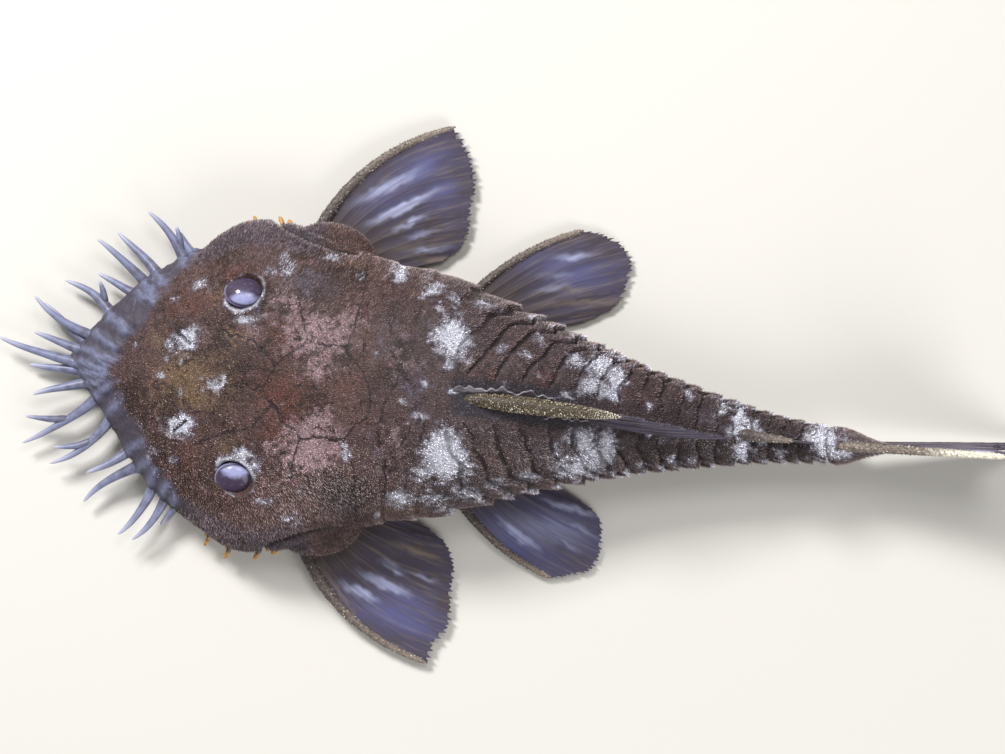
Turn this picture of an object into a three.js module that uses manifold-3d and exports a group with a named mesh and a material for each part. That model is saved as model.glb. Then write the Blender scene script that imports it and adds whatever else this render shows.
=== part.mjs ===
// A male bristlenose catfish at rest on its belly, life size, in millimetres.
// +X runs from the snout to the tail, +Y to the fish's right side and +Z up. The origin lies on the
// flat of the belly, on the head's midline, 44 mm behind the snout tip.
import * as THREE from "three";
import { mergeVertices } from "three/addons/utils/BufferGeometryUtils.js";
import Module from "manifold-3d";

const wasm = await Module();
wasm.setup();

// Driving sizes. Every place called s is a distance behind the snout tip.
const BODY_LENGTH = 104; // snout tip to the root of the tail fin
const ORIGIN_S = 44;
const GAP = 0.3; // clearance between neighbouring pieces
const SNOUT_ENDS = 18;
const HEAD_ENDS = 40;
const TRUNK_ENDS = 66;
const BEND = { from: 48, to: 112, aside: -4.15 }; // the tail swings to the left
const SNOUT_SHIFT = { full: 2, gone: 14, aside: 2.3 }; // the soft snout is pushed to the right

// The body's outline: place, half width, and the heights of the back, the underside and the
// widest line. Where the underside dips below zero the belly is cut flat on the ground.
const STATIONS = [
  { s: 0, half: 1.6, back: 3.9, under: 2.2, edge: 3.0 },
  { s: 1.5, half: 3.9, back: 5.2, under: 1.7, edge: 3.1 },
  { s: 4, half: 7.0, back: 6.7, under: 1.5, edge: 3.3 },
  { s: 8, half: 12.0, back: 8.6, under: 1.5, edge: 3.6 },
  { s: 12, half: 15.8, back: 10.3, under: 1.5, edge: 3.9 },
  { s: 17.5, half: 19.0, back: 12.5, under: 1.5, edge: 4.3 },
  { s: 22, half: 21.7, back: 14.3, under: 1.3, edge: 4.9 },
  { s: 26, half: 22.2, back: 15.8, under: -0.1, edge: 5.4 },
  { s: 31, half: 21.3, back: 17.3, under: -0.6, edge: 6.0 },
  { s: 38.5, half: 18.8, back: 18.9, under: -0.6, edge: 6.5 },
  { s: 45, half: 17.2, back: 19.6, under: -0.6, edge: 7.0 },
  { s: 50.5, half: 16.4, back: 19.9, under: -0.6, edge: 7.2 },
  { s: 58, half: 13.5, back: 18.9, under: -0.4, edge: 7.5 },
  { s: 68, half: 10.0, back: 16.9, under: 0.9, edge: 7.8 },
  { s: 79, half: 6.6, back: 14.7, under: 2.4, edge: 8.2 },
  { s: 92, half: 3.6, back: 13.1, under: 3.1, edge: 8.3 },
  { s: 98, half: 2.7, back: 12.7, under: 3.3, edge: 8.2 },
  { s: 104, half: 2.2, back: 13.0, under: 3.4, edge: 8.2 },
];
const UPPER_SQUARENESS = 2.1; // exponent of the section above its widest line; 2 is an ellipse
const LOWER_SQUARENESS = 3.2;
const SMOOTH_SIDES = 40;
const RING_SPACING = 2.6;

// Plates of the body, in five rows a side. Row edges are turns round the section in degrees.
const TRUNK_ROWS = { edges: [0, 26, 50, 72, 95, 128], perRow: 4, belly: 3 };
const TAIL_ROWS = { edges: [0, 28, 60, 90, 122, 160], perRow: 2, belly: 1 };
const PLATE_LENGTHS = { first: 2.4, longest: 3.8, longestAt: 60, last: 1.9, haste: 0.6 };
const PLATE_RAISE = 0.5; // height of a plate's rear edge
const PLATE_RAISE_AT_NAPE = 0.25; // shares of that height behind the head and at the tail fin
const PLATE_RAISE_AT_TAIL = 0.7;
const PLATE_SINK = 0.1; // depth of its front edge
const PLATE_POINT = 0.7; // how far the middle of the rear edge sticks out
const PLATE_STEP = 0.12; // half the length of the drop between two plates
// Lag of a plate for each mm outwards, on the right and left sides
const PLATE_SLANT = { right: 0.58, left: 0.36, level: 3, full: 52, fades: 60, gone: 84 };

const HEAD_PLATE_RAISE = 0.25;
// Plan outlines of the head's plates on the right side, x and y
const SKULL_ROOF = [[-16.6, 0.4], [-12.2, 6.1], [-6.8, 5.7], [-4.4, 2.8]];
const FOREHEAD = [[-29, 0.5], [-17.3, 0.9], [-13.1, 6.4], [-19.5, 7.6], [-25, 6.4], [-29.5, 4]];
const TEMPLE = [[-12.3, 6.9], [-6.6, 6.2], [-4.5, 8], [-4.6, 15.6], [-9, 17.2], [-13.6, 14.4], [-13, 11]];

const EYE = { s: 23, out: 12.4, radius: 3.0, depth: 1.9, proud: 1.3, tilt: 34, rim: 0.5 };
const NOSTRIL = { s: 15.5, out: 6, radius: 1.3, tilt: 22 };
const CHEEK = { s: 25.2, out: 22.5, z: 5, radii: [8.4, 5.3, 6.5] };
const SHOULDER = { s: 34, out: 17.4, z: 6.6, radii: [6.4, 5.3, 2.6] };
const CHEEK_SPINES = { count: 7, from: 20, to: 29.4, long: 4.2, radius: 0.34 };
const MOUTH = { s: 11.4, aside: 0.4, long: 6.4, wide: 9.2, high: 1.2 };
const BARBEL = { length: 4.2, radius: 0.45 };

// Soft tentacles on the snout's rim: root place and offset from the head's midline, length, the
// way it points from +X towards +Y, sideways bow, and a side branch where it has one.
const TENTACLES = [
  { s: 15.2, aside: 17.6, length: 4, heading: 129, bow: 0.1 },
  { s: 13.7, aside: 16.8, length: 7.6, heading: 127, bow: -0.5, branch: { at: 0.25, turn: -24 } },
  { s: 10, aside: 14.8, length: 7.2, heading: 136, bow: -0.3 },
  { s: 8.8, aside: 13, length: 8.6, heading: 140, bow: -0.5 },
  { s: 8.2, aside: 11.6, length: 6.2, heading: 156, bow: 0.2 },
  { s: 3.6, aside: 9, length: 6.8, heading: 144, bow: -0.8, branch: { at: 0.3, turn: -38 } },
  { s: 2.6, aside: 5.8, length: 9.6, heading: 151, bow: 0.8 },
  { s: 2.4, aside: 3.2, length: 9.6, heading: 139, bow: -0.2 },
  { s: 0.8, aside: 3.8, length: 6.8, heading: 163, bow: 0.3 },
  { s: 0.6, aside: 1.9, length: 10.2, heading: 165, bow: 0.4 },
  { s: 0.8, aside: 0.6, length: 7.2, heading: 176, bow: -0.2 },
  { s: 1.4, aside: -1, length: 7, heading: 195, bow: -0.2 },
  { s: 3, aside: -2.4, length: 11.8, heading: 215, bow: 0.8, branch: { at: 0.5, turn: -36 } },
  { s: 5, aside: -4.6, length: 10.6, heading: 223, bow: 1.4, branch: { at: 0.5, turn: -30 } },
  { s: 7.8, aside: -9.8, length: 6.2, heading: 212, bow: 0.2 },
  { s: 8.9, aside: -12.4, length: 8.2, heading: 214, bow: -0.7 },
  { s: 10.9, aside: -14.2, length: 7.8, heading: 240, bow: 1 },
  { s: 13, aside: -15.2, length: 7.6, heading: 239, bow: 0.8 },
  { s: 14.6, aside: -16.2, length: 4, heading: 243, bow: 0.3 },
];
const TENTACLE = { radius: 0.9, sides: 5, steps: 4, rooted: 1.8, tipRadius: 0.22 };

const MATERIALS = {
  armour: { color: "#5c4a48", roughness: 0.75, metalness: 0 },
  bare_skin: { color: "#7b7e95", roughness: 0.5, metalness: 0 },
  fin: { color: "#67667f", roughness: 0.55, metalness: 0 },
  eye: { color: "#9a9ac0", roughness: 0.2, metalness: 0 },
  lip: { color: "#b9aba4", roughness: 0.5, metalness: 0 },
};

// Small helpers
const mix = (a, b, t) => a + (b - a) * t;
const clamp = (x, low, high) => Math.min(Math.max(x, low), high);
const ease = (t) => clamp(t, 0, 1) ** 2 * (3 - 2 * clamp(t, 0, 1));
const radians = THREE.MathUtils.degToRad;
const point = (x, y, z) => new THREE.Vector3(x, y, z);
const sideName = (side) => (side > 0 ? "right" : "left");

// Reads one column of the stations at any place, on a smooth curve through them.
function column(name) {
  const x = STATIONS.map((row) => row.s);
  const y = STATIONS.map((row) => row[name]);
  const last = x.length - 1;
  const slope = x.map((_, i) => {
    const before = Math.max(i - 1, 0);
    const after = Math.min(i + 1, last);
    return (y[after] - y[before]) / (x[after] - x[before]);
  });
  return (s) => {
    const next = x.findIndex((v) => v > s);
    const from = next < 0 ? last - 1 : clamp(next - 1, 0, last - 1);
    const width = x[from + 1] - x[from];
    const t = clamp((s - x[from]) / width, 0, 1);
    return (
      y[from] * (2 * t ** 3 - 3 * t ** 2 + 1) +
      slope[from] * width * (t ** 3 - 2 * t ** 2 + t) +
      y[from + 1] * (3 * t ** 2 - 2 * t ** 3) +
      slope[from + 1] * width * (t ** 3 - t ** 2)
    );
  };
}
const halfAt = column("half");
const backAt = column("back");
const underAt = column("under");
const edgeAt = column("edge");
const midlineAt = (s) =>
  BEND.aside * ease((s - BEND.from) / (BEND.to - BEND.from)) +
  SNOUT_SHIFT.aside * (1 - ease((s - SNOUT_SHIFT.full) / (SNOUT_SHIFT.gone - SNOUT_SHIFT.full)));

// A point of the skin at a place and a turn round the body, from 0 on the back over the right
// side to a half turn on the belly, moved out by lift.
function skinAt(s, turn, lift = 0) {
  const half = halfAt(s);
  const edge = edgeAt(s);
  const across = Math.sin(turn);
  const up = Math.cos(turn);
  const power = 2 / (up >= 0 ? UPPER_SQUARENESS : LOWER_SQUARENESS);
  const height = up >= 0 ? backAt(s) - edge : edge - underAt(s);
  const y = half * Math.sign(across) * Math.abs(across) ** power;
  const rise = height * Math.sign(up) * Math.abs(up) ** power;
  const out =
    edge + rise < 0
      ? new THREE.Vector2(0, -1)
      : new THREE.Vector2(y / half ** 2, rise / height ** 2).normalize();
  return point(
    s - ORIGIN_S,
    midlineAt(s) + y + out.x * lift,
    Math.max(edge + rise, 0) + out.y * lift,
  );
}

// The skin's height where the upper side crosses a distance from the head's midline.
function skinAbove(s, out) {
  return skinAt(s, Math.sign(out) * Math.asin((Math.abs(out) / halfAt(s)) ** (UPPER_SQUARENESS / 2)));
}

// A closed mesh through rings of points. Its ends are closed by a fan to their centre, or across
// the thickness of a slab, whose two faces hold the first and the second half of each ring.
function skinned(rings, ends = "fan") {
  const count = rings[0].length;
  const points = rings.flat();
  const faces = [];
  for (let r = 0; r + 1 < rings.length; r++) {
    for (let k = 0; k < count; k++) {
      const a = r * count + k;
      const b = r * count + ((k + 1) % count);
      faces.push([a, b, a + count], [b, b + count, a + count]);
    }
  }
  const close = (first, turned) => {
    const add = (a, b, c) => faces.push(turned ? [a, b, c] : [a, c, b]);
    if (ends === "fan") {
      const middle = new THREE.Vector3();
      for (let k = 0; k < count; k++) middle.addScaledVector(points[first + k], 1 / count);
      points.push(middle);
      for (let k = 0; k < count; k++) add(first + k, first + ((k + 1) % count), points.length - 1);
      return;
    }
    for (let k = 0; k + 1 < count / 2; k++) {
      const [a, b, c, d] = [k, k + 1, count - 2 - k, count - 1 - k].map((n) => first + n);
      add(a, b, d);
      add(b, c, d);
    }
  };
  close(0, false);
  close((rings.length - 1) * count, true);
  const geometry = new THREE.BufferGeometry().setFromPoints(points);
  geometry.setIndex(faces.flat());
  return geometry;
}

// Turns a closed geometry into a solid that can be joined and cut, facing outwards.
function solidOf(geometry) {
  const bare = geometry.clone();
  bare.deleteAttribute("normal");
  bare.deleteAttribute("uv");
  const merged = mergeVertices(bare, 1e-4);
  const build = (triVerts) =>
    new wasm.Manifold(
      new wasm.Mesh({ numProp: 3, vertProperties: merged.attributes.position.array, triVerts }),
    );
  const index = new Uint32Array(merged.index.array);
  const made = build(index);
  return made.volume() > 0 ? made : build(index.toReversed());
}

const joined = (solids) => solids.reduce((a, b) => a.add(b));
const largest = (solid) => solid.decompose().sort((a, b) => b.volume() - a.volume())[0];

const box = (from, to) => {
  const size = to.clone().sub(from);
  const middle = from.clone().add(to).multiplyScalar(0.5);
  return solidOf(new THREE.BoxGeometry(size.x, size.y, size.z).translate(...middle));
};
const slice = (solid, from, to) =>
  solid.intersect(box(point(from - ORIGIN_S, -60, -5), point(to - ORIGIN_S, 60, 60)));

// An upright block over a plan outline, given for the right side.
function block(outline, side) {
  const shape = new THREE.Shape(outline.map(([x, y]) => new THREE.Vector2(x, side * y)));
  return solidOf(new THREE.ExtrudeGeometry(shape, { depth: 30, bevelEnabled: false }));
}

// An ellipsoid, tilted sideways by an angle in degrees from upright.
function ellipsoid(centre, radii, tilt = 0, sides = 16) {
  const ball = new THREE.SphereGeometry(1, sides, Math.round(sides * 0.6));
  return solidOf(ball.rotateX(Math.PI / 2).scale(...radii).rotateX(-radians(tilt)).translate(...centre));
}

const group = new THREE.Group();

// Adds the largest closed surface of a solid to the model as a named mesh.
function add(name, solid, look) {
  const { vertProperties, triVerts } = largest(solid).getMesh();
  const geometry = new THREE.BufferGeometry();
  geometry.setAttribute("position", new THREE.BufferAttribute(vertProperties, 3));
  geometry.setIndex(new THREE.BufferAttribute(triVerts, 1));
  geometry.computeVertexNormals();
  const mesh = new THREE.Mesh(geometry, new THREE.MeshStandardMaterial(MATERIALS[look]));
  mesh.name = name;
  group.add(mesh);
}

// A tapering round rod along a list of points, with a radius for each.
function rod(path, radii, sides) {
  const rings = path.map((centre, i) => {
    const ahead = path[Math.min(i + 1, path.length - 1)];
    const behind = path[Math.max(i - 1, 0)];
    const along = ahead.clone().sub(behind).normalize();
    const side = along.clone().cross(point(0, 0, 1)).normalize();
    const up = side.clone().cross(along);
    const ring = [];
    for (let k = 0; k < sides; k++) {
      const angle = (2 * Math.PI * k) / sides;
      const spot = centre.clone().addScaledVector(side, radii[i] * Math.cos(angle));
      ring.push(spot.addScaledVector(up, radii[i] * Math.sin(angle)));
    }
    return ring;
  });
  return solidOf(skinned(rings));
}

// A line from start to end, bowed sideways at its middle by a vector.
function bowed(start, end, bow, steps) {
  const path = [];
  for (let i = 0; i <= steps; i++) {
    const t = i / steps;
    path.push(start.clone().lerp(end, t).addScaledVector(bow, 4 * t * (1 - t)));
  }
  return path;
}

// A fin as one sheet between root(u) and tip(u), with a ridge on both faces along each ray.
function fan({ rays, root, tip, bow, across, web, ridge, steps }) {
  const columns = [];
  for (let i = 0; i < rays; i++) {
    const u = i / (rays - 1);
    const besideRay = 0.24 / (rays - 1);
    if (i > 0) columns.push({ u: u - besideRay, raised: 0 });
    columns.push({ u, raised: 1 });
    if (i < rays - 1) columns.push({ u: u + besideRay, raised: 0 });
  }
  const rings = [];
  for (let r = 0; r <= steps; r++) {
    const v = r / steps;
    const pairs = columns.map(({ u, raised }) => {
      const reach = 1 - (1 - raised) * 0.02 * v;
      const spot = root(u).lerp(tip(u), v * reach);
      spot.addScaledVector(bow(u), 4 * v * (1 - v));
      const thick = web / 2 + raised * ridge * (1 - 0.6 * v);
      return [spot.clone().addScaledVector(across, thick), spot.addScaledVector(across, -thick)];
    });
    rings.push([...pairs.map((pair) => pair[0]), ...pairs.map((pair) => pair[1]).reverse()]);
  }
  return solidOf(skinned(rings, "slab"));
}

// The smooth shell of the body from the snout to a place, grown by lift.
function smoothShell(to, lift = 0) {
  const steps = Math.round(to / RING_SPACING);
  const rings = [];
  for (let r = 0; r <= steps; r++) {
    const ring = [];
    for (let k = 0; k < SMOOTH_SIDES; k++)
      ring.push(skinAt((to * r) / steps, (2 * Math.PI * k) / SMOOTH_SIDES, lift));
    rings.push(ring);
  }
  return solidOf(skinned(rings));
}
const headShell = (lift) => smoothShell(HEAD_ENDS + 1, lift);

// Turns round the section for the plates: a few to each row, with how near each lies to the middle
// of its row, and then the naked belly.
function sectionTurns({ edges, perRow, belly }) {
  const right = [];
  for (let row = 0; row + 1 < edges.length; row++) {
    for (let k = 0; k < perRow; k++) {
      const t = k / perRow;
      right.push({ turn: mix(edges[row], edges[row + 1], t), middle: 1 - Math.abs(2 * t - 1) });
    }
  }
  for (let k = 0; k < belly; k++)
    right.push({ turn: mix(edges.at(-1), 180, k / belly), middle: 0 });
  const left = right.slice(1).reverse().map(({ turn, middle }) => ({ turn: -turn, middle }));
  return [...right, { turn: 180, middle: 0 }, ...left];
}

// Edges of the plates along the back, with the longest plates beside the back fin.
function plateEdges() {
  const { first, longest, longestAt, last, haste } = PLATE_LENGTHS;
  const edges = [HEAD_ENDS];
  while (edges.at(-1) < BODY_LENGTH - 1.25 * last) {
    const s = edges.at(-1);
    const growing = mix(first, longest, ease((s - HEAD_ENDS) / (longestAt - HEAD_ENDS)));
    const behind = Math.max(s - longestAt, 0) / (BODY_LENGTH - longestAt);
    const shrinking = mix(longest, last, behind ** haste);
    edges.push(s + (s < longestAt ? growing : shrinking));
  }
  return [...edges, BODY_LENGTH];
}

// A ring of points along one edge line of the plates. The rear edge stands up and is toothed; the
// front edge of the next plate lies low, just behind it.
function plateRing(s, rows, kind) {
  const { right, left, level, full, fades, gone } = PLATE_SLANT;
  const grown = ease((s - HEAD_ENDS) / (full - HEAD_ENDS));
  const slanted = grown * (1 - ease((s - fades) / (gone - fades)));
  const tooth = s < BODY_LENGTH ? PLATE_POINT * grown : 0;
  const thinned = mix(1, PLATE_RAISE_AT_TAIL, ease((s - gone) / (BODY_LENGTH - gone)));
  const raise = PLATE_RAISE * mix(PLATE_RAISE_AT_NAPE, 1, grown) * thinned;
  return sectionTurns(rows).map(({ turn, middle }) => {
    const plated = Math.abs(turn) < rows.edges.at(-1);
    const out = halfAt(s) * Math.sin(radians(Math.min(Math.abs(turn), 90)));
    const slant = slanted * (turn > 0 ? right : left);
    const back = slant * Math.max(out - level, 0) + tooth * middle;
    const step = kind === "rear" ? -PLATE_STEP : PLATE_STEP;
    const stands = kind === "rear" ? raise * mix(0.45, 1, middle) : -PLATE_SINK;
    const spot = skinAt(s + back + step, radians(turn), plated ? stands : 0);
    spot.z = Math.max(spot.z, 0);
    return spot;
  });
}

// The plated body between two of the plate edges.
function platedShell(edges, rows) {
  const rings = [plateRing(edges[0], rows, "front")];
  for (const s of edges.slice(1, -1))
    rings.push(plateRing(s, rows, "rear"), plateRing(s, rows, "front"));
  rings.push(plateRing(edges.at(-1), rows, "rear"));
  return solidOf(skinned(rings));
}

// Trunk and tail reach past each other before a level cut parts them.
const edges = plateEdges();
const lastBefore = edges.findLastIndex((s) => s < TRUNK_ENDS);
const trunkShell = platedShell(edges.slice(0, lastBefore + 3), TRUNK_ROWS);
const tailShell = platedShell(edges.slice(lastBefore - 2), TAIL_ROWS);

const mirrored = (place, side) => point(place.s - ORIGIN_S, side * place.out, place.z);
const cheekRegion = (side, grow) =>
  ellipsoid(mirrored(CHEEK, side), CHEEK.radii.map((r) => r + grow), 0, 16);
const shoulder = (side, grow) =>
  ellipsoid(mirrored(SHOULDER, side), SHOULDER.radii.map((r) => r + grow), 0, 12);

// What the fins stay clear of, where plates stand up by up to raise beside them.
const around = (raise) =>
  joined([smoothShell(BODY_LENGTH, GAP + raise), shoulder(1, GAP), shoulder(-1, GAP)]);
const aroundFlanks = around(PLATE_RAISE);
const aroundBack = around(PLATE_RAISE / 2);

// Snout, with its tentacles and nostrils
function tentacle({ s, aside, length, heading, bow, branch }, index) {
  const way = point(Math.cos(radians(heading)), Math.sin(radians(heading)), 0);
  const root = point(s - ORIGIN_S, aside, edgeAt(s) + 0.2);
  const start = root.clone().addScaledVector(way, -TENTACLE.rooted);
  const end = root.clone().addScaledVector(way, length);
  end.z += 1.1 * Math.sin(2.4 * index) - 0.4;
  const sideways = point(-way.y, way.x, 0).multiplyScalar(bow);
  const path = bowed(start, end, sideways, TENTACLE.steps);
  const radii = path.map((_, i) => mix(TENTACLE.radius, TENTACLE.tipRadius, (i / TENTACLE.steps) ** 1.2));
  const pieces = [rod(path, radii, TENTACLE.sides)];
  if (branch) {
    const from = start.clone().lerp(end, branch.at).addScaledVector(sideways, 0.8);
    const turned = way.clone().applyAxisAngle(point(0, 0, 1), radians(branch.turn));
    const to = from.clone().addScaledVector(turned, length * 0.5);
    pieces.push(rod([from, to], [0.55, TENTACLE.tipRadius], 4));
  }
  return joined(pieces);
}

let snout = slice(headShell(), -5, SNOUT_ENDS - GAP / 2);
for (const side of [1, -1]) {
  const spot = skinAbove(NOSTRIL.s, side * NOSTRIL.out);
  const { radius } = NOSTRIL;
  const above = spot.clone().add(point(0, 0, 0.6));
  const rim = ellipsoid(spot, [radius + 0.5, radius + 0.3, 0.6], side * NOSTRIL.tilt, 10);
  const cup = ellipsoid(above, [radius, radius * 0.75, 1.3], side * NOSTRIL.tilt, 10);
  const flap = bowed(
    spot.clone().add(point(0, -radius, -0.9)),
    spot.clone().add(point(0.3, radius, -0.6)),
    point(-0.3, 0, 1.2),
    2,
  );
  snout = snout.add(rim).subtract(cup).add(rod(flap, [0.35, 0.4, 0.35], 4));
}
add("snout", joined([snout, ...TENTACLES.map(tentacle)]), "bare_skin");

// Eyes, in raised rims
function eye(side, grow) {
  const tilt = side * EYE.tilt;
  const outward = point(0, Math.sin(radians(tilt)), Math.cos(radians(tilt)));
  const centre = skinAbove(EYE.s, side * EYE.out).addScaledVector(outward, EYE.proud - EYE.depth);
  return ellipsoid(centre, [EYE.radius + grow, EYE.radius + grow, EYE.depth + grow], tilt, 14);
}
function eyeRim(side) {
  const ring = new THREE.TorusGeometry(EYE.radius + EYE.rim * 0.7, EYE.rim, 5, 16);
  const spot = skinAbove(EYE.s, side * EYE.out);
  return solidOf(ring.rotateX(-radians(side * EYE.tilt)).translate(...spot));
}

// Cheek spines: hooked, one row under the edge of each cheek
function cheekSpine(side, index) {
  const t = index / (CHEEK_SPINES.count - 1);
  const s = mix(CHEEK_SPINES.from, CHEEK_SPINES.to, t);
  const long = CHEEK_SPINES.long * (1 - 0.35 * Math.abs(2 * t - 1) + 0.12 * Math.sin(5 * index));
  const root = point(s - ORIGIN_S, side * (halfAt(s) - 1.3), 3.3 + 0.2 * Math.sin(3 * index));
  const end = root.clone().add(point(-1.6, side * long, -0.9));
  const path = bowed(root, end, point(0.7, 0, 0.2), 2);
  return rod(path, [CHEEK_SPINES.radius, CHEEK_SPINES.radius * 0.8, 0.12], 4);
}

let head = headShell();
for (const side of [1, -1]) {
  head = head.add(shoulder(side, 0)).add(eyeRim(side));
  for (const outline of [FOREHEAD, TEMPLE])
    head = head.add(headShell(HEAD_PLATE_RAISE).intersect(block(outline, side)));
}
const wholeRoof = [...SKULL_ROOF, ...SKULL_ROOF.map(([x, y]) => [x, -y]).reverse()];
head = head.add(headShell(HEAD_PLATE_RAISE).intersect(block(wholeRoof, 1)));
head = slice(head, SNOUT_ENDS + GAP / 2, HEAD_ENDS - GAP / 2);
for (const side of [1, -1]) {
  const spines = Array.from({ length: CHEEK_SPINES.count }, (_, i) => cheekSpine(side, i));
  const cheek = slice(headShell(), SNOUT_ENDS + GAP / 2, HEAD_ENDS).intersect(cheekRegion(side, 0));
  add(`cheek_${sideName(side)}`, joined([cheek, ...spines]), "armour");
  add(`eye_${sideName(side)}`, eye(side, 0), "eye");
  head = head.subtract(cheekRegion(side, GAP)).subtract(eye(side, GAP));
}
add("head", head, "armour");
add("trunk", slice(trunkShell, HEAD_ENDS, TRUNK_ENDS - GAP / 2), "armour");
add("tail", slice(tailShell, TRUNK_ENDS + GAP / 2, BODY_LENGTH + 1), "armour");

// Sucker mouth: a round lip with the mouth's opening in it, and a barbel at each corner
const lipProfile = [[0, 1], [1, 1], [1, 0.45], [0.92, 0], [0.5, 0], [0.4, 0.4], [0.16, 0.5], [0, 0.7]];
const lips = solidOf(
  new THREE.LatheGeometry(lipProfile.map(([r, z]) => new THREE.Vector2(r, z)), 28)
    .rotateX(Math.PI / 2)
    .scale(MOUTH.long, MOUTH.wide, MOUTH.high)
    .translate(MOUTH.s - ORIGIN_S, MOUTH.aside, 0),
);
const barbel = (side) => {
  const corner = MOUTH.aside + side * (MOUTH.wide - 0.9);
  const root = point(MOUTH.s - ORIGIN_S + 1, corner, BARBEL.radius + 0.1);
  const end = root.clone().add(point(BARBEL.length * 0.75, side * BARBEL.length * 0.6, -0.1));
  const radii = [1, 0.9, 0.7, 0.4].map((share) => share * BARBEL.radius);
  return rod(bowed(root, end, point(0, side * 0.5, 0), 3), radii, 6);
};
add("mouth", joined([lips, barbel(1), barbel(-1)]), "lip");

// Paired fins spread from a centre inside the body, the stout first spine leading
function pairedFin(name, side, { s, out, z, reach, angles, rays, spine, bow, tipHeights }) {
  const x = s - ORIGIN_S;
  const middle = midlineAt(s);
  const heading = (u) => radians(mix(angles[0], angles[1], u));
  const root = (u) =>
    point(x + mix(-spine.rooted, spine.rooted, u), middle + side * (out + 1 - 3 * u), mix(z, z - 0.8, u));
  const tip = (u) =>
    point(
      x + reach(u) * Math.cos(heading(u)),
      middle + side * (out + reach(u) * Math.sin(heading(u))),
      mix(tipHeights[0], tipHeights[1], u),
    );
  const bowAt = (u) =>
    point(-Math.sin(heading(u)), side * Math.cos(heading(u)), 0).multiplyScalar(bow * (1 - u));
  const sheet = fan({
    rays, root, tip, bow: bowAt, across: point(0, 0, 1), web: 0.55, ridge: 0.3, steps: 6,
  });
  const line = bowed(root(0), tip(0), bowAt(0), 6);
  const leading = rod(line, line.map((_, i) => mix(spine.radius, 0.4, i / 6)), 6);
  const cleared = joined([sheet, leading]).subtract(aroundFlanks).subtract(cheekRegion(side, GAP));
  add(`${name}_${sideName(side)}`, cleared, "fin");
}

for (const side of [1, -1]) {
  pairedFin("pectoral_fin", side, {
    s: 34,
    out: 17,
    z: 3.4,
    reach: (u) => 25.6 - 8.4 * u ** 1.3,
    angles: [51, 5],
    rays: 7,
    spine: { radius: 1.2, rooted: 3 },
    bow: 3.6,
    tipHeights: [1.3, 1.2],
  });
  pairedFin("pelvic_fin", side, {
    s: 53,
    out: 9.8,
    z: 2.2,
    reach: (u) => (side > 0 ? 1 : 0.95) * (20.8 + 16 * u * (1 - u) - 2.4 * u ** 3),
    angles: side > 0 ? [42, 5] : [47, 10],
    rays: 6,
    spine: { radius: 0.85, rooted: 2 },
    bow: 1.8,
    tipHeights: [0.95, 0.8],
  });
}

// Upright fins stand over the midline; each place is given as s and a height.
const upright = (s, z, aside = 0) => point(s - ORIGIN_S, midlineAt(s) + aside, z);
const unbowed = () => point(0, 0, 0);
const sideways = point(0, 1, 0);

// Fin of the back, folded down, its stout spine in front and its rays trailing behind
const DORSAL = {
  from: 53.4,
  to: 68.5,
  spineTip: [74.3, 20.6],
  spineRadii: [0.8, 1.1, 1.2, 1.15, 1.02, 0.8, 0.3],
  firstTip: [73, 20.2],
  lastTip: [86, 15.4],
  trail: 8.6,
};
{
  const root = (u) => {
    const s = mix(DORSAL.from, DORSAL.to, u);
    return upright(s, backAt(s) - 0.9);
  };
  const tip = (u) =>
    upright(
      mix(DORSAL.firstTip[0], DORSAL.lastTip[0], u) + DORSAL.trail * 4 * u * (1 - u),
      mix(DORSAL.firstTip[1], DORSAL.lastTip[1], u),
    );
  const sheet = fan({
    rays: 8, root, tip, bow: unbowed, across: sideways, web: 0.7, ridge: 0.3, steps: 5,
  });
  const line = bowed(root(0), upright(...DORSAL.spineTip), point(0, 0, 0.5), 6);
  const spine = rod(line, DORSAL.spineRadii, 8);
  add("dorsal_fin", joined([sheet, spine]).subtract(aroundBack), "fin");
}

// Small spined fin between the back fin and the tail fin
const ADIPOSE = { root: 90.5, tip: [97.4, 15.7], webEnds: 98.5, radii: [0.75, 0.7, 0.6, 0.45, 0.25] };
{
  const line = bowed(
    upright(ADIPOSE.root, backAt(ADIPOSE.root) - 0.6),
    upright(...ADIPOSE.tip),
    point(0, 0, 0.4),
    4,
  );
  const along = (u) => mix(ADIPOSE.root + 0.5, ADIPOSE.webEnds, u);
  const web = fan({
    rays: 3,
    root: (u) => upright(along(u), backAt(along(u)) - 0.8),
    tip: (u) => upright(mix(ADIPOSE.tip[0], ADIPOSE.webEnds + 2, u), mix(ADIPOSE.tip[1] - 0.1, 13.8, u)),
    bow: unbowed,
    across: sideways,
    web: 0.55,
    ridge: 0,
    steps: 3,
  });
  const spine = rod(line, ADIPOSE.radii, 6);
  add("adipose_fin", joined([web, spine]).subtract(aroundBack), "fin");
}

// Fin under the tail, folded back
const ANAL = { from: 74, to: 80, firstTip: [85.5, 0.5], lastTip: [89.5, 1.9] };
add(
  "anal_fin",
  fan({
    rays: 5,
    root: (u) => upright(mix(ANAL.from, ANAL.to, u), underAt(mix(ANAL.from, ANAL.to, u)) + 0.8),
    tip: (u) =>
      upright(mix(ANAL.firstTip[0], ANAL.lastTip[0], u), mix(ANAL.firstTip[1], ANAL.lastTip[1], u)),
    bow: unbowed,
    across: sideways,
    web: 0.55,
    ridge: 0.25,
    steps: 4,
  }).subtract(aroundBack),
  "fin",
);

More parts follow.
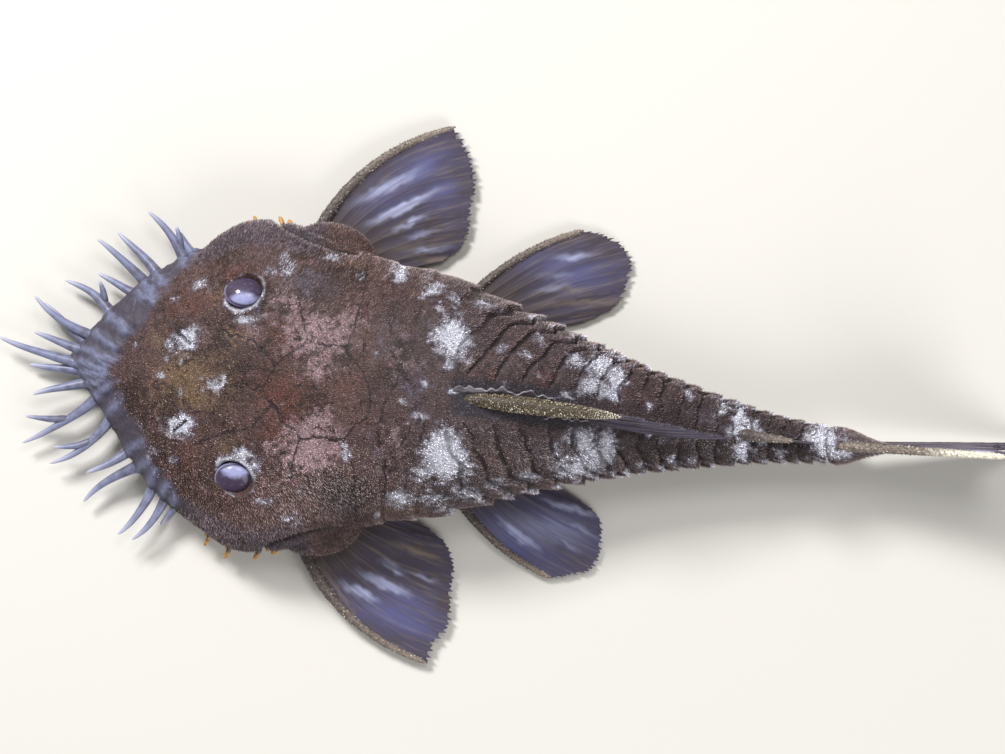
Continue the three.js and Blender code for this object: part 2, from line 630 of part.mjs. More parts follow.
// Tail fin, half folded, the lower lobe longer and its tip just clear of the ground
const CAUDAL = { root: [12.6, 3.8], upperTip: [128.5, 21], lowerTip: [133, 0.9], notch: 5.6, curl: 1.6 };
add(
  "caudal_fin",
  fan({
    rays: 14,
    root: (u) => upright(BODY_LENGTH + GAP, mix(CAUDAL.root[0], CAUDAL.root[1], u)),
    tip: (u) =>
      upright(
        mix(CAUDAL.upperTip[0], CAUDAL.lowerTip[0], u) - CAUDAL.notch * 4 * u * (1 - u),
        mix(CAUDAL.upperTip[1], CAUDAL.lowerTip[1], u),
        CAUDAL.curl * u,
      ),
    bow: unbowed,
    across: sideways,
    web: 0.6,
    ridge: 0.25,
    steps: 4,
  }),
  "fin",
);

export default group;
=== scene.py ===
import math

import bpy
import numpy as np
from mathutils import Matrix, Vector


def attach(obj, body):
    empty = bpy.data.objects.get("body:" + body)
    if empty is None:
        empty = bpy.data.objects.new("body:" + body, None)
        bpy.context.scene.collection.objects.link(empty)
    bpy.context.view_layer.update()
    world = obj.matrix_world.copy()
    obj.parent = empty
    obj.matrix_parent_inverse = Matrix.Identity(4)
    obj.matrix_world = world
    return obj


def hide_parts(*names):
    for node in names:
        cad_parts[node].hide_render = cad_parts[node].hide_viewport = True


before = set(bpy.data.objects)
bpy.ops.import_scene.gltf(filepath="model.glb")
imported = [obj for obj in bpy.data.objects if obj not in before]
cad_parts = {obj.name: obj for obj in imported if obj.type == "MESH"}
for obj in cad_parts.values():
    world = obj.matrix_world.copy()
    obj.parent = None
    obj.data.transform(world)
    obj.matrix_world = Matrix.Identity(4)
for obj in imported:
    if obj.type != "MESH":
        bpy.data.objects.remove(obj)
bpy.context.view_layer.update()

# A male bristlenose catfish at rest on its belly, life size. Lengths here are in millimetres and
# become metres when a mesh is made. +X runs from the snout to the tail, +Y to the fish's right
# and +Z up. Every place called s is a distance behind the snout tip.

bl_info = {
    "name": "Bristlenose catfish",
    "version": (1, 0, 0),
    "blender": (4, 5, 0),
    "location": "3D Viewport > Sidebar > Bristlenose",
    "description": "Builds the skin, prickles, tentacles, eyes, mouth and fins of a bristlenose catfish",
    "category": "Object",
}

MM = 0.001
SIDES = {"right": 1, "left": -1}
BODY_LENGTH = 104.0
ORIGIN_S = 44.0  # the place of x = 0
HEAD_ENDS = 40.0
BEND = {"from": 48.0, "to": 112.0, "aside": -4.15}
SNOUT_SHIFT = {"full": 2.0, "gone": 14.0, "aside": 2.3}

# The body's outline: place, half width, and heights of the back, the underside and the widest line
STATIONS = np.array(
    [
        (0, 1.6, 3.9, 2.2, 3),
        (1.5, 3.9, 5.2, 1.7, 3.1),
        (4, 7, 6.7, 1.5, 3.3),
        (8, 12, 8.6, 1.5, 3.6),
        (12, 15.8, 10.3, 1.5, 3.9),
        (17.5, 19, 12.5, 1.5, 4.3),
        (22, 21.7, 14.3, 1.3, 4.9),
        (26, 22.2, 15.8, -0.1, 5.4),
        (31, 21.3, 17.3, -0.6, 6),
        (38.5, 18.8, 18.9, -0.6, 6.5),
        (45, 17.2, 19.6, -0.6, 7),
        (50.5, 16.4, 19.9, -0.6, 7.2),
        (58, 13.5, 18.9, -0.4, 7.5),
        (68, 10, 16.9, 0.9, 7.8),
        (79, 6.6, 14.7, 2.4, 8.2),
        (92, 3.6, 13.1, 3.1, 8.3),
        (98, 2.7, 12.7, 3.3, 8.2),
        (104, 2.2, 13, 3.4, 8.2),
    ]
)
UPPER_SQUARENESS = 2.1
LOWER_SQUARENESS = 3.2
SKIN_DEPTH = 0.12  # the skin lies this far inside the solids, under its prickles

# Plates of the body: row edges are turns round the section, in degrees from the back
TRUNK_ROWS = np.array([0, 26, 50, 72, 95, 128])
TAIL_ROWS = np.array([0, 28, 60, 90, 122, 160])
ROWS_CHANGE = (60.0, 70.0)
PLATE_LENGTHS = {"first": 2.4, "longest": 3.8, "longest_at": 60.0, "last": 1.9, "haste": 0.6}
PLATE_SLANT = {"right": 0.58, "left": 0.36, "level": 3.0, "full": 52.0, "fades": 60.0, "gone": 84.0}
PLATE_POINT = 0.35
FLANK_POINT = 1.1
FLANK_SWEEP = {"reach": 2.8, "by": 0.8}  # plates are swept back within this reach of the body's edge
GAP_WIDTH = 0.66  # smooth skin showing in front of a plate
RINGS_IN_PLATE = (0.0, 0.05, 0.12, 0.2, 0.29, 0.42, 0.58, 0.76, 0.93)
TAIL_CONE = 7.0  # length of the fleshy cone over the roots of the tail fin's rays
SEAM_REACH = 0.36  # a seam is felt this far away
BAKE_SPAN = 125.0  # millimetres of skin across the whole bake map

EYE = {"s": 23.25, "out": 12.4, "long": 2.8, "wide": 2.42, "depth": 1.6, "proud": 0.85, "tilt": 36.0}
SHOULDER = {"s": 34.0, "out": 17.4, "z": 6.6, "radii": (6.4, 5.3, 2.6)}
MOUTH = {"s": 11.4, "aside": 0.4, "long": 6.4, "wide": 9.2, "high": 1.2}

# Tentacles: root place and offset from the midline, length, heading from +X towards +Y,
# sideways bow, and a side branch where there is one (place along it and turn)
TENTACLES = [
    (15.2, 17.6, 4, 129, 0.1, None),
    (13.7, 16.8, 7.6, 127, -0.5, (0.25, -24)),
    (10, 14.8, 7.2, 136, -0.3, None),
    (8.8, 13, 8.6, 140, -0.5, None),
    (8.2, 11.6, 6.2, 156, 0.2, None),
    (3.6, 9, 6.8, 144, -0.8, (0.3, -38)),
    (2.6, 5.8, 9.6, 151, 0.8, None),
    (2.4, 3.2, 9.6, 139, -0.2, None),
    (0.8, 3.8, 6.8, 163, 0.3, None),
    (0.6, 1.9, 11.4, 165, 0.4, None),
    (0.8, 0.6, 7.2, 176, -0.2, None),
    (1.4, -1, 7, 195, -0.2, None),
    (3, -2.4, 11.8, 215, 0.8, (0.5, -36)),
    (5, -4.6, 10.6, 223, 1.4, (0.5, -30)),
    (7.8, -9.8, 6.2, 212, 0.2, None),
    (8.9, -12.4, 8.2, 214, -0.7, None),
    (10.9, -14.2, 7.8, 240, 1, None),
    (13, -15.2, 7.6, 239, 0.8, None),
    (14.6, -16.2, 4, 243, 0.3, None),
]
TENTACLE_ROOTED = 1.8  # a tentacle's root starts this far inside the rim

# Rays of the fins: where each fork starts along a ray and how far its branches part, in spaces
# between rays, then the length of a joint and half the width of a ray
RAY_FORKS = ((0.35, 0.22), (0.68, 0.1))
RAY_JOINT = 0.8
RAY_HALF_WIDTH = 0.15

# Hooks under the cheeks: x and distance from the midline at root and tip, and radius
CHEEK_HOOKS = {
    1: [
        (-20.6, 20, -20.9, 23.2, 0.3), (-18.6, 20, -19, 22.6, 0.26), (-17, 19.8, -17.4, 23.3, 0.36),
        (-15.6, 19.6, -16.1, 22.9, 0.4),
    ],
    -1: [
        (-25, 18.6, -25.3, 22.3, 0.32), (-21.9, 20, -22.5, 23.9, 0.36), (-18, 20.4, -18.4, 23.8, 0.4),
        (-15.9, 20.2, -15.9, 23, 0.44), (-17, 20.4, -16.8, 22.6, 0.3),
    ],
}

# Seams between the bone plates of the head and nape, as plan lines of x and y
SEAMS = [
    [(-21.7, -0.3), (-17.7, -0.4), (-16.1, -2.3), (-14.8, -4), (-12.1, -6.6), (-9.4, -6.2)],
    [(-9.4, -6.2), (-6.2, -6.5), (-4.7, -4.2), (-3.3, -3.5), (-2.9, -1.2), (-3.9, 2.2)],
    [(-18.9, 6.1), (-17.4, 4.4), (-16, 2.7), (-14.2, 4.6), (-12.4, 5.6), (-11.9, 6.6)],
    [(-11.9, 6.6), (-9.5, 5.9), (-6.4, 5.9), (-5.7, 4.3), (-3.9, 2.2)],
    [(-17.7, -0.4), (-16.8, 1), (-16, 2.7)],
    [(-13.3, 12.4), (-13.1, 11), (-12.6, 9.2), (-11.9, 6.6)],
    [(-12.1, -6.6), (-12.9, -9.4), (-13.2, -12)],
    [(-6.2, -6.4), (-5.2, -9.3), (-4.6, -12.9), (-4.4, -17.1)],
    [(-6.4, 5.9), (-5.4, 9.2), (-4.7, 13), (-4.6, 16.8)],
    [(0.6, 4), (0.5, 1.8), (-0.3, 0.2), (-1.1, -1.4), (-2, -4.7), (-1.6, -7.4)],
    [(-0.7, -9.1), (-0.6, -11.6), (-0.8, -13.9)],
    [(2.7, -4), (1.5, -6.4), (0.3, -8.5), (0.2, -11)],
    [(-0.5, 11.6), (-0.6, 8.2), (1.2, 6.3), (1, 3.2), (0.1, 0.7)],
    [(3, -1.2), (3.4, -3.2), (4.1, -4.8), (4, -7.5)],
    [(-26.5, -8.2), (-22.6, -6.6), (-19, -5.8), (-16.1, -2.3)],
    [(-26, 8), (-22.2, 6.6), (-18.9, 6.1)],
]
GILL_CLEFT = [(-17.8, 22.4), (-15.3, 20.9), (-12.0, 19.6), (-9.0, 18.7), (-6.2, 18.3)]
NOSTRIL = (-28.6, 5.9)
NOSTRIL_SLIT = [(-29.5, 6.6), (-27.9, 5.2)]
SNOUT_AXIS = 0.6  # y of the line that the snout's rim is even about

# Front edge of the bony armour: distance from the midline and x. In front of it the skin is naked.
ARMOUR_FRONT = np.array(
    [
        (0, -39), (3.9, -36.9), (7.4, -33.9), (11, -32.9),
        (13.4, -30.7), (16.8, -27.6), (19.5, -24.5), (21, -21),
    ]
)

# Markings: x, y, reach along x, reach along y, strength
FROST = [
    (7.4, 7.9, 2.4, 2.9, 1.4), (4.5, 7.6, 0.8, 1.2, 0.7), (7.1, 3.7, 1.2, 0.9, 0.9),
    (7.1, -7.9, 2.8, 3.1, 1.7), (4.4, -10.4, 1.6, 1.8, 0.75), (9.6, -9.4, 1.4, 1.8, 0.8),
    (4.3, 1.4, 0.9, 0.8, 0.8), (7.8, 0.9, 0.9, 0.5, 0.95), (1.2, -0.9, 1, 0.7, 0.75),
    (3.9, -2.8, 1.1, 0.9, 0.75), (17, 6.4, 0.6, 0.5, 0.9), (14.2, 7, 0.8, 0.9, 0.55),
    (18.9, 8.3, 0.8, 0.7, 0.7), (27.4, 5, 2.3, 1.9, 1.2), (29.6, 3.4, 1.4, 2.3, 1.15),
    (26.2, 2.2, 1.9, 1.4, 1.15), (24.2, 5.6, 1.4, 1.6, 0.85), (28.6, 1.3, 1.9, 0.8, 1),
    (22.8, 0.9, 1.4, 0.5, 0.95), (34, 0.2, 0.8, 0.5, 0.95), (39.5, 1.8, 0.9, 0.7, 0.55),
    (25.6, -4.8, 2.2, 1.9, 1.2), (28.7, -6, 1.4, 3, 1.25), (24.4, -8.6, 3.2, 1.5, 1.2),
    (26.8, -7, 2.2, 1.6, 1.2), (22, -6.8, 1.4, 1.6, 0.7), (34.1, -3.9, 0.6, 0.5, 0.8),
    (37.5, -7, 0.9, 0.6, 0.8), (40, -7.1, 0.9, 0.6, 0.7), (33.6, -7.9, 1, 0.6, 0.7),
    (46.4, -0.6, 1, 1.7, 1.2), (47.2, -2.6, 2.2, 1.6, 1.5), (46.8, -5, 1.1, 1.8, 1.2),
    (44.2, 0.3, 0.9, 1, 0.9), (49.6, -4.2, 1, 0.7, 0.7), (52.1, -5.6, 0.8, 1, 0.7),
    (57.6, -3.2, 2.2, 1.9, 1.4), (58.5, -5, 1.5, 1.3, 1.15), (36, -4.6, 0.9, 0.9, 0.5),
    (-0.1, 16, 0.9, 1.6, 1.05), (4.4, 14.2, 1.9, 0.8, 0.9), (5.4, 11.9, 0.8, 0.7, 0.85),
    (3.3, 13, 0.7, 0.6, 0.8), (7.5, 13, 0.8, 1.4, 0.7), (11, 12.6, 1.6, 0.7, 0.7),
    (1.6, -14.2, 2.2, 1.4, 0.95), (6, -13.9, 2, 1.3, 0.9), (10.4, -12.9, 2, 1.1, 0.85),
    (14.4, -11.6, 1.8, 0.9, 0.8), (18.6, -10.2, 1.8, 0.7, 0.8), (8, -15.4, 1.6, 0.8, 0.7),
    (-20.3, 9, 1.9, 0.8, 1), (-20.2, -9.2, 1.9, 0.9, 1), (-17.9, -10.6, 0.9, 1.1, 0.85),
    (-28.4, 6, 1.7, 1.5, 1.3), (-30.4, 5.2, 0.8, 1.2, 0.8), (-28.6, -5.9, 2, 1.5, 1.4),
    (-31.6, 0.9, 0.6, 0.5, 0.7), (-28.8, -1.2, 0.5, 0.5, 0.7), (-35.7, 4.4, 0.6, 0.5, 0.65),
    (-34.2, -6.1, 0.5, 0.6, 0.6), (-29.2, -10.4, 0.8, 0.6, 0.65), (-31, 3, 0.6, 0.6, 0.8),
    (-29, 2.6, 0.6, 0.5, 0.7), (-24.1, -0.2, 1.5, 1, 0.95), (-22.9, 0.4, 0.8, 0.7, 0.8),
    (-15.2, 16.4, 1.5, 1.7, 0.62), (-17.4, 15.4, 1, 0.7, 0.62), (-13, -17.6, 1.6, 0.8, 0.6),
    (-16.6, -15.4, 1.6, 0.6, 0.62), (-11.6, -13.6, 1, 0.6, 0.62), (-5.8, -8.1, 0.7, 1.5, 0.85),
    (-27, 13.4, 1.6, 0.8, 0.65), (-30.6, 11.2, 1.2, 0.6, 0.6), (-31.8, -9.6, 1.2, 0.9, 0.55),
    (-9.4, 17.6, 1.6, 0.8, 0.6), (-5.4, 15.6, 0.9, 0.6, 0.6), (-2.6, 4.8, 0.7, 0.6, 0.6),
]
ROSE = [
    (-10.4, 7.6, 5, 3.8, 1), (-10.1, 3.2, 3, 2, 0.8), (-6.2, 9.4, 2.2, 3, 0.7),
    (-10.8, -8, 4.1, 3.8, 1.35), (-9.3, -4.2, 2.2, 2.4, 0.95), (-15.6, -8, 2.6, 1.4, 0.7),
    (-14.6, 11.4, 3.2, 2.2, 0.8), (-14.4, -16.4, 3, 1.6, 0.3), (-19, 6.6, 2.6, 1.4, 0.6),
    (0.6, 4, 2, 4, 0.5), (0.4, -6, 2.4, 3.6, 0.5),
]
OCHRE = [
    (-27.5, 0.2, 6.4, 4.8, 0.95), (-24.4, 11.6, 2.4, 1.6, 0.6), (-21.5, 6.6, 2.6, 1.6, 0.8),
    (-5.6, 16.4, 4, 1.6, 0.5), (4, 14.6, 3, 1.6, 0.6), (2.4, -15.4, 4, 1.4, 0.7), (11, 4.4, 3.6, 2, 0.4),
    (-32.5, 5.5, 2.4, 2, 0.6), (-21.4, -8.6, 2.4, 1.6, 0.8), (13, -8, 4, 2.4, 0.35),
    (-30, -7, 2.4, 2, 0.5),
]
RUSSET = [
    (-28.5, 10.6, 4.5, 2.6, 1), (-15.4, 7, 3.8, 3.2, 0.9), (-22, 15, 5, 1.8, 0.7), (-15, -1, 4.8, 5, 1),
    (-28, -10.5, 3.5, 3.5, 0.7), (-15.4, -6.2, 3.2, 2.2, 0.9), (12, 3.4, 3, 1.2, 0.6),
    (-6, 0.4, 4, 3, 0.6), (32, 2, 7, 3, 0.6), (-20, -14.6, 5, 1.6, 0.6), (20, 3, 3, 1.6, 0.6),
]
VIOLET = [
    (-12, 14.5, 4.5, 3, 0.9), (-16.5, 16.8, 4, 2.2, 0.5), (-6, -16, 3.5, 2.5, 0.6),
    (-1.5, 8, 3, 3.5, 0.5), (-2, -9, 2.4, 4, 0.5), (3, 0.5, 2.2, 3, 0.8), (16, 5, 4, 2, 0.3),
    (18, -7, 3.4, 2, 0.5), (44, -3, 7, 4, 0.7),
]
DUSK = [
    (-6, -14, 4.2, 3, 1.2), (-9.4, 13.4, 4.2, 2.4, 0.7), (33, 2.6, 5, 2.6, 0.8),
    (16.5, -4.6, 5, 2.6, 0.8), (45, -3, 14, 6.5, 1.6), (-1.6, 1.4, 4, 5, 0.45), (10.6, 13.6, 5, 1.4, 0.6),
    (-24, -4, 3, 2, 0.3), (-20.6, 1.6, 3.6, 3.6, 0.25), (39.6, 0.8, 4.6, 2.2, 1),
    (52.4, -3.6, 4.6, 3, 1.3), (-36, 2, 2.2, 5, 0.45),
]

# Streaks of the paired fins: x and y of both ends, reach, strength. The pale streaks are partly the fins'
# own and partly painted highlight along the rays.
PALE_STREAKS = [
    (-6.5, 26, 1.4, 30.7, 0.8, 0.85), (-4.2, 23.4, 2.8, 27.3, 0.6, 1.3), (-1.6, 22, 2.4, 24.5, 0.45, 0.8),
    (0.3, 21.3, 3.8, 22.5, 0.5, 0.75), (1.2, 19.5, 6.4, 20.2, 0.5, 0.65),
    (-5.8, -26.7, -1.4, -28.5, 0.7, 1), (-3, -25.2, 2.6, -27.4, 0.7, 1.15),
    (-1, -23, 2.2, -24.7, 0.6, 0.85), (3.2, -24.4, 7.2, -25.8, 0.45, 0.6),
    (20.6, 19.6, 25.9, 20.4, 0.6, 0.7), (18.7, 16.9, 22.8, 17.6, 0.6, 0.55),
    # The wide weak pale streak from (14, -16) to (28, -19) is painted light that lifts the left belly fin
    # out of the body's shade
    (18.2, 14.8, 22.8, 16, 0.5, 0.55), (14, -16, 28, -19, 3, 0.5), (15, -16.7, 20.2, -20.3, 0.8, 1),
    (21, -13.8, 28, -15.4, 0.6, 0.75), (24.2, -16.4, 28.6, -18.4, 0.5, 0.7),
    (22.6, -18.7, 26.2, -20.5, 0.5, 0.6),
]
BLUE_STREAKS = [
    (-0.6, 29.2, 4.4, 32.8, 2, 1), (2.6, 26.9, 6.4, 29.2, 1.9, 0.8), (-6, 25, 2, 28.5, 2.2, 0.6),
    (-3.6, -29, 6.4, -32.8, 2, 1), (-0.6, -27.4, 6.2, -30.4, 1.7, 0.85),
    (17.8, 18.7, 27.6, 18.3, 1.8, 0.75), (20.6, 16.2, 27.6, 17.5, 1.5, 0.8),
    (13, -17.4, 22, -22, 2.2, 1.2), (18, -15.4, 28, -18.6, 2.4, 0.9),
]
TAN_STREAKS = [
    (1.2, -20.7, 6.1, -22.2, 0.5, 0.9), (21.6, 15.3, 25, 15.5, 0.5, 0.7),
    (-10.1, 23.6, -7.7, 29.1, 0.35, 0.8), (-7.7, 29.1, -2, 33.2, 0.3, 0.6),
    (-9, -24.4, -4, -31, 0.3, 0.5), (20, 13.2, 30, 14.2, 0.4, 0.6), (2, 18.6, 7.6, 18.4, 0.5, 0.8),
    (-2, 19.4, 3, 20.6, 0.6, 0.6),
]

# The studio, in metres and watts. The camera looks straight down, rolled a little, with its lens and
# sensor in millimetres. A light has a place, a width and a power.
CAMERA = {"lens": 127.4, "sensor_width": 36.0, "clip_start": 0.01, "clip_end": 50.0}
CAMERA_PLACE = (0.01433, 0.00293, 0.49)
CAMERA_ROLL = math.radians(3.0)
LIGHTS = {
    "key_light": ((-0.26, 0.34, 0.42), 0.14, 4.3),
    "fill_light": ((0.3, -0.36, 0.36), 0.3, 1.7),
    "top_light": ((0.1, 0.25, 0.62), 0.2, 1.2),
}
LIT_SPOT = (0.012, 0.0, 0.01)
AIR_STRENGTH = 0.25
FLOOR_REACH = 3.0


def hex_linear(text):
    """Turns an sRGB hex colour to the linear red, green, blue and alpha that Blender works in."""
    parts = [int(text[i : i + 2], 16) / 255 for i in (0, 2, 4)]
    return [p / 12.92 if p <= 0.04045 else ((p + 0.055) / 1.055) ** 2.4 for p in parts] + [1.0]


def mix(a, b, t):
    return a + (b - a) * t


def ease(t):
    t = np.clip(t, 0.0, 1.0)
    return t * t * (3 - 2 * t)


def between(value, start, full):
    """Goes smoothly from 0 to 1 as a value goes from start to full."""
    return ease((value - start) / (full - start))


def hump(value, start, full, fades, gone):
    """Goes from 0 to 1 between start and full, and back to 0 between fades and gone."""
    return between(value, start, full) * (1 - between(value, fades, gone))


def column(number):
    """Reads one column of the stations at any place, on a smooth curve through them."""
    x = STATIONS[:, 0]
    y = STATIONS[:, number]
    last = len(x) - 1
    before = np.maximum(np.arange(last + 1) - 1, 0)
    after = np.minimum(np.arange(last + 1) + 1, last)
    slope = (y[after] - y[before]) / (x[after] - x[before])

    def read(s):
        k = np.clip(np.searchsorted(x, s, side="right") - 1, 0, last - 1)
        width = x[k + 1] - x[k]
        t = np.clip((s - x[k]) / width, 0, 1)
        rising = slope[k] * (t**3 - 2 * t**2 + t) + slope[k + 1] * (t**3 - t**2)
        return mix(y[k], y[k + 1], 3 * t**2 - 2 * t**3) + rising * width

    return read


half_at, back_at, under_at, edge_at = (column(number) for number in (1, 2, 3, 4))


def midline_at(s):
    bent = between(s, BEND["from"], BEND["to"])
    pushed = 1 - between(s, SNOUT_SHIFT["full"], SNOUT_SHIFT["gone"])
    return BEND["aside"] * bent + SNOUT_SHIFT["aside"] * pushed


def skin_at(s, turn, lift=0.0):
    """Points of the skin at places and turns in degrees, moved out by lift, and the way out there."""
    s, turn, lift = np.broadcast_arrays(np.asarray(s, float), np.asarray(turn, float), lift)
    half = half_at(s)
    edge = edge_at(s)
    across = np.sin(np.radians(turn))
    up = np.cos(np.radians(turn))
    power = 2 / np.where(up >= 0, UPPER_SQUARENESS, LOWER_SQUARENESS)
    height = np.where(up >= 0, back_at(s) - edge, edge - under_at(s))
    y = half * np.sign(across) * np.abs(across) ** power
    rise = height * np.sign(up) * np.abs(up) ** power
    out = np.stack([np.zeros_like(y), y / half**2, rise / height**2], -1)
    out[edge + rise < 0] = (0, 0, -1)
    out /= np.linalg.norm(out, axis=-1, keepdims=True)
    place = np.stack([s - ORIGIN_S, midline_at(s) + y, np.maximum(edge + rise, 0)], -1)
    return place + out * lift[..., None], out


def skin_above(s, out):
    """The skin where its upper side crosses a distance from the midline."""
    share = min(abs(out) / float(half_at(s)), 1.0)
    turn = math.copysign(math.degrees(math.asin(share ** (UPPER_SQUARENESS / 2))), out)
    return skin_at(s, turn)[0]


def waves(points, size, seed):
    """Smooth random relief, mostly between -1 and 1, with bumps about size mm across."""
    draw = np.random.default_rng(seed)
    total = np.zeros(points.shape[:-1])
    for octave in (0, 1):
        for _ in range(6):
            way = draw.normal(size=3)
            way *= 2 * np.pi * 2**octave * draw.uniform(0.7, 1.3) / size / np.linalg.norm(way)
            total += np.sin(points @ way + draw.uniform(0, 2 * np.pi)) * 0.5**octave
    return total / 3.5


def line_distance(x, y, line):
    """Distance in plan from places to a line of points."""
    nearest = np.full(np.shape(x), 1e9)
    for (ax, ay), (bx, by) in zip(line, line[1:]):
        dx, dy = bx - ax, by - ay
        t = np.clip(((x - ax) * dx + (y - ay) * dy) / (dx * dx + dy * dy), 0, 1)
        nearest = np.minimum(nearest, np.hypot(x - ax - t * dx, y - ay - t * dy))
    return nearest


def marking(points, spots, seed, wander=0.7):
    """Strength of a set of soft-edged spots, with wandering edges."""
    x = points[..., 0] + wander * waves(points, 4.2 * wander, seed)
    y = points[..., 1] + wander * waves(points, 4.2 * wander, seed + 1)
    total = np.zeros(points.shape[:-1])
    for cx, cy, rx, ry, strength in spots:
        total = np.maximum(total, strength * np.exp(-(((x - cx) / rx) ** 2 + ((y - cy) / ry) ** 2)))
    return total


def streaked(points, streaks):
    """Strength of a set of soft streaks that fade to both ends, given in plan."""
    x = points[..., 0] + 0.2 * waves(points, 2.2, 61)
    y = points[..., 1] + 0.2 * waves(points, 2.2, 62)
    total = np.zeros(points.shape[:-1])
    for ax, ay, bx, by, reach, strength in streaks:
        long = math.hypot(bx - ax, by - ay)
        ways = (bx - ax) / long, (by - ay) / long
        along = ((x - ax) * ways[0] + (y - ay) * ways[1]) / long
        off = (y - ay) * ways[0] - (x - ax) * ways[1]
        soft = np.exp(-((off / reach) ** 2)) * np.exp(-((1.7 * along - 0.85) ** 2))
        total = np.maximum(total, strength * soft)
    return total


# Meshes


def ring_faces(rings, columns):
    """Quads between closed rings of points."""
    r, k = np.meshgrid(np.arange(rings - 1), np.arange(columns), indexing="ij")
    a = (r * columns + k).ravel()
    b = (r * columns + (k + 1) % columns).ravel()
    return np.stack([a, b, b + columns, a + columns], 1)


def closed_rings(rings, ends="fan"):
    """Points and faces of a closed shell through rings, its ends closed by a fan to the centre or,
    for a slab whose two faces hold the two halves of each ring, across its thickness."""
    count, columns = rings.shape[:2]
    points = rings.reshape(-1, 3)
    faces = ring_faces(count, columns).tolist()
    last = (count - 1) * columns
    if ends == "fan":
        points = np.vstack([points, rings[0].mean(0), rings[-1].mean(0)])
        for k in range(columns):
            faces.append([(k + 1) % columns, k, len(points) - 2])
            faces.append([last + k, last + (k + 1) % columns, len(points) - 1])
    else:
        for k in range(columns // 2 - 1):
            far = columns - 1 - k
            faces.append([k, far, far - 1, k + 1])
            faces.append([last + k, last + k + 1, last + far - 1, last + far])
    return points, faces


def outward(points, faces):
    """Turns the faces of a closed shell round if they point inwards."""
    total = 0.0
    centre = points.mean(0)
    for size in (3, 4):
        same = np.array([f for f in faces if len(f) == size])
        if len(same):
            corners = points[same] - centre
            for k in range(1, size - 1):
                crossed = np.cross(corners[:, k], corners[:, k + 1])
                total += np.einsum("ij,ij->", corners[:, 0], crossed)
    return faces if total > 0 else [list(reversed(f)) for f in faces]


def bring_in(name, data):
    """Puts a mesh, a light or a camera into the scene as an object."""
    made = bpy.data.objects.new(name, data)
    bpy.context.scene.collection.objects.link(made)
    return made


def give_attributes(mesh, attributes):
    """Gives a mesh attributes with one value or vector for each point."""
    for key, values in attributes.items():
        values = np.asarray(values, np.float32)
        if values.ndim == 1:
            mesh.attributes.new(key, "FLOAT", "POINT").data.foreach_set("value", values)
        else:
            data = mesh.attributes.new(key, "FLOAT_VECTOR", "POINT").data
            data.foreach_set("vector", values.ravel())


def piece(name, points, faces, material, attributes):
    """Makes a smooth mesh object from millimetres."""
    mesh = bpy.data.meshes.new(name)
    mesh.from_pydata(np.asarray(points) * MM, [], outward(np.asarray(points), faces))
    mesh.polygons.foreach_set("use_smooth", [True] * len(mesh.polygons))
    give_attributes(mesh, attributes)
    if material:
        mesh.materials.append(material)
    mesh.update()
    return bring_in(name, mesh)


def points_of(mesh):
    """The points of a mesh, in metres."""
    points = np.zeros(len(mesh.vertices) * 3, np.float32)
    mesh.vertices.foreach_get("co", points)
    return points.reshape(-1, 3)


def settle(made, slot, *nodes):
    """Fixes a finished piece to the body and hides the solids it stands for; its slot is not used.
    Nothing of it reaches below the floor."""
    points = points_of(made.data)
    points[:, 2] = np.maximum(points[:, 2], 0)
    made.data.vertices.foreach_set("co", points.ravel())
    made.data.update()
    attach(made, "root")
    if nodes:
        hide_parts(*nodes)
    return made


def bowed(start, end, bow, count):
    """Points on a line from start to end, bowed by a vector at its middle."""
    t = np.linspace(0, 1, count)[:, None]
    return mix(np.array(start, float), np.array(end, float), t) + np.array(bow, float) * 4 * t * (1 - t)


def rod_rings(path, radii, sides, flat):
    """Rings of a round or flattened rod along a path."""
    along = np.gradient(path, axis=0)
    along /= np.linalg.norm(along, axis=1, keepdims=True)
    side = np.cross(along, (0, 0, 1))
    side /= np.linalg.norm(side, axis=1, keepdims=True)
    up = np.cross(side, along)
    angles = np.linspace(0, 2 * np.pi, sides, endpoint=False)
    wide = np.cos(angles)[None, :, None] * side[:, None]
    high = np.sin(angles)[None, :, None] * up[:, None] * flat
    return path[:, None] + (wide + high) * np.asarray(radii)[:, None, None]


def add(tree, kind, inputs=None, out=0, **settings):
    """Adds a node with its settings and links, and gives one of its outputs. Inputs go by name or
    number, and take a value or another node's output."""
    node = tree.nodes.new(kind)
    for key, value in settings.items():
        setattr(node, key, value)
    for key, value in (inputs or {}).items():
        if isinstance(value, bpy.types.NodeSocket):
            tree.links.new(value, node.inputs[key])
        else:
            node.inputs[key].default_value = value
    return node.outputs[out] if node.outputs else None


# Materials. A pattern on object coordinates has the scale 1000 / size, with its real size in
# millimetres.


def new_material(name):
    material = bpy.data.materials.new(name)
    material.use_nodes = True
    tree = material.node_tree
    tree.nodes.clear()
    return material, tree


def finish_material(material, finish):
    shader = add(material.node_tree, "ShaderNodeBsdfPrincipled", finish)
    add(material.node_tree, "ShaderNodeOutputMaterial", {"Surface": shader})
    return material


def layered(tree, colour, layers):
    """Lays colours over one another, each as strong as its mask, the last one on top."""
    for mask, layer in layers:
        colour = add(tree, "ShaderNodeMix", {0: mask, 6: colour, 7: layer}, 2, data_type="RGBA")
    return colour


def scaled_colour(tree, colour, factor):
    """A colour made darker or lighter by a factor."""
    even = add(tree, "ShaderNodeCombineXYZ", {0: factor, 1: factor, 2: factor})
    return add(tree, "ShaderNodeVectorMath", {0: colour, 1: even}, operation="MULTIPLY")


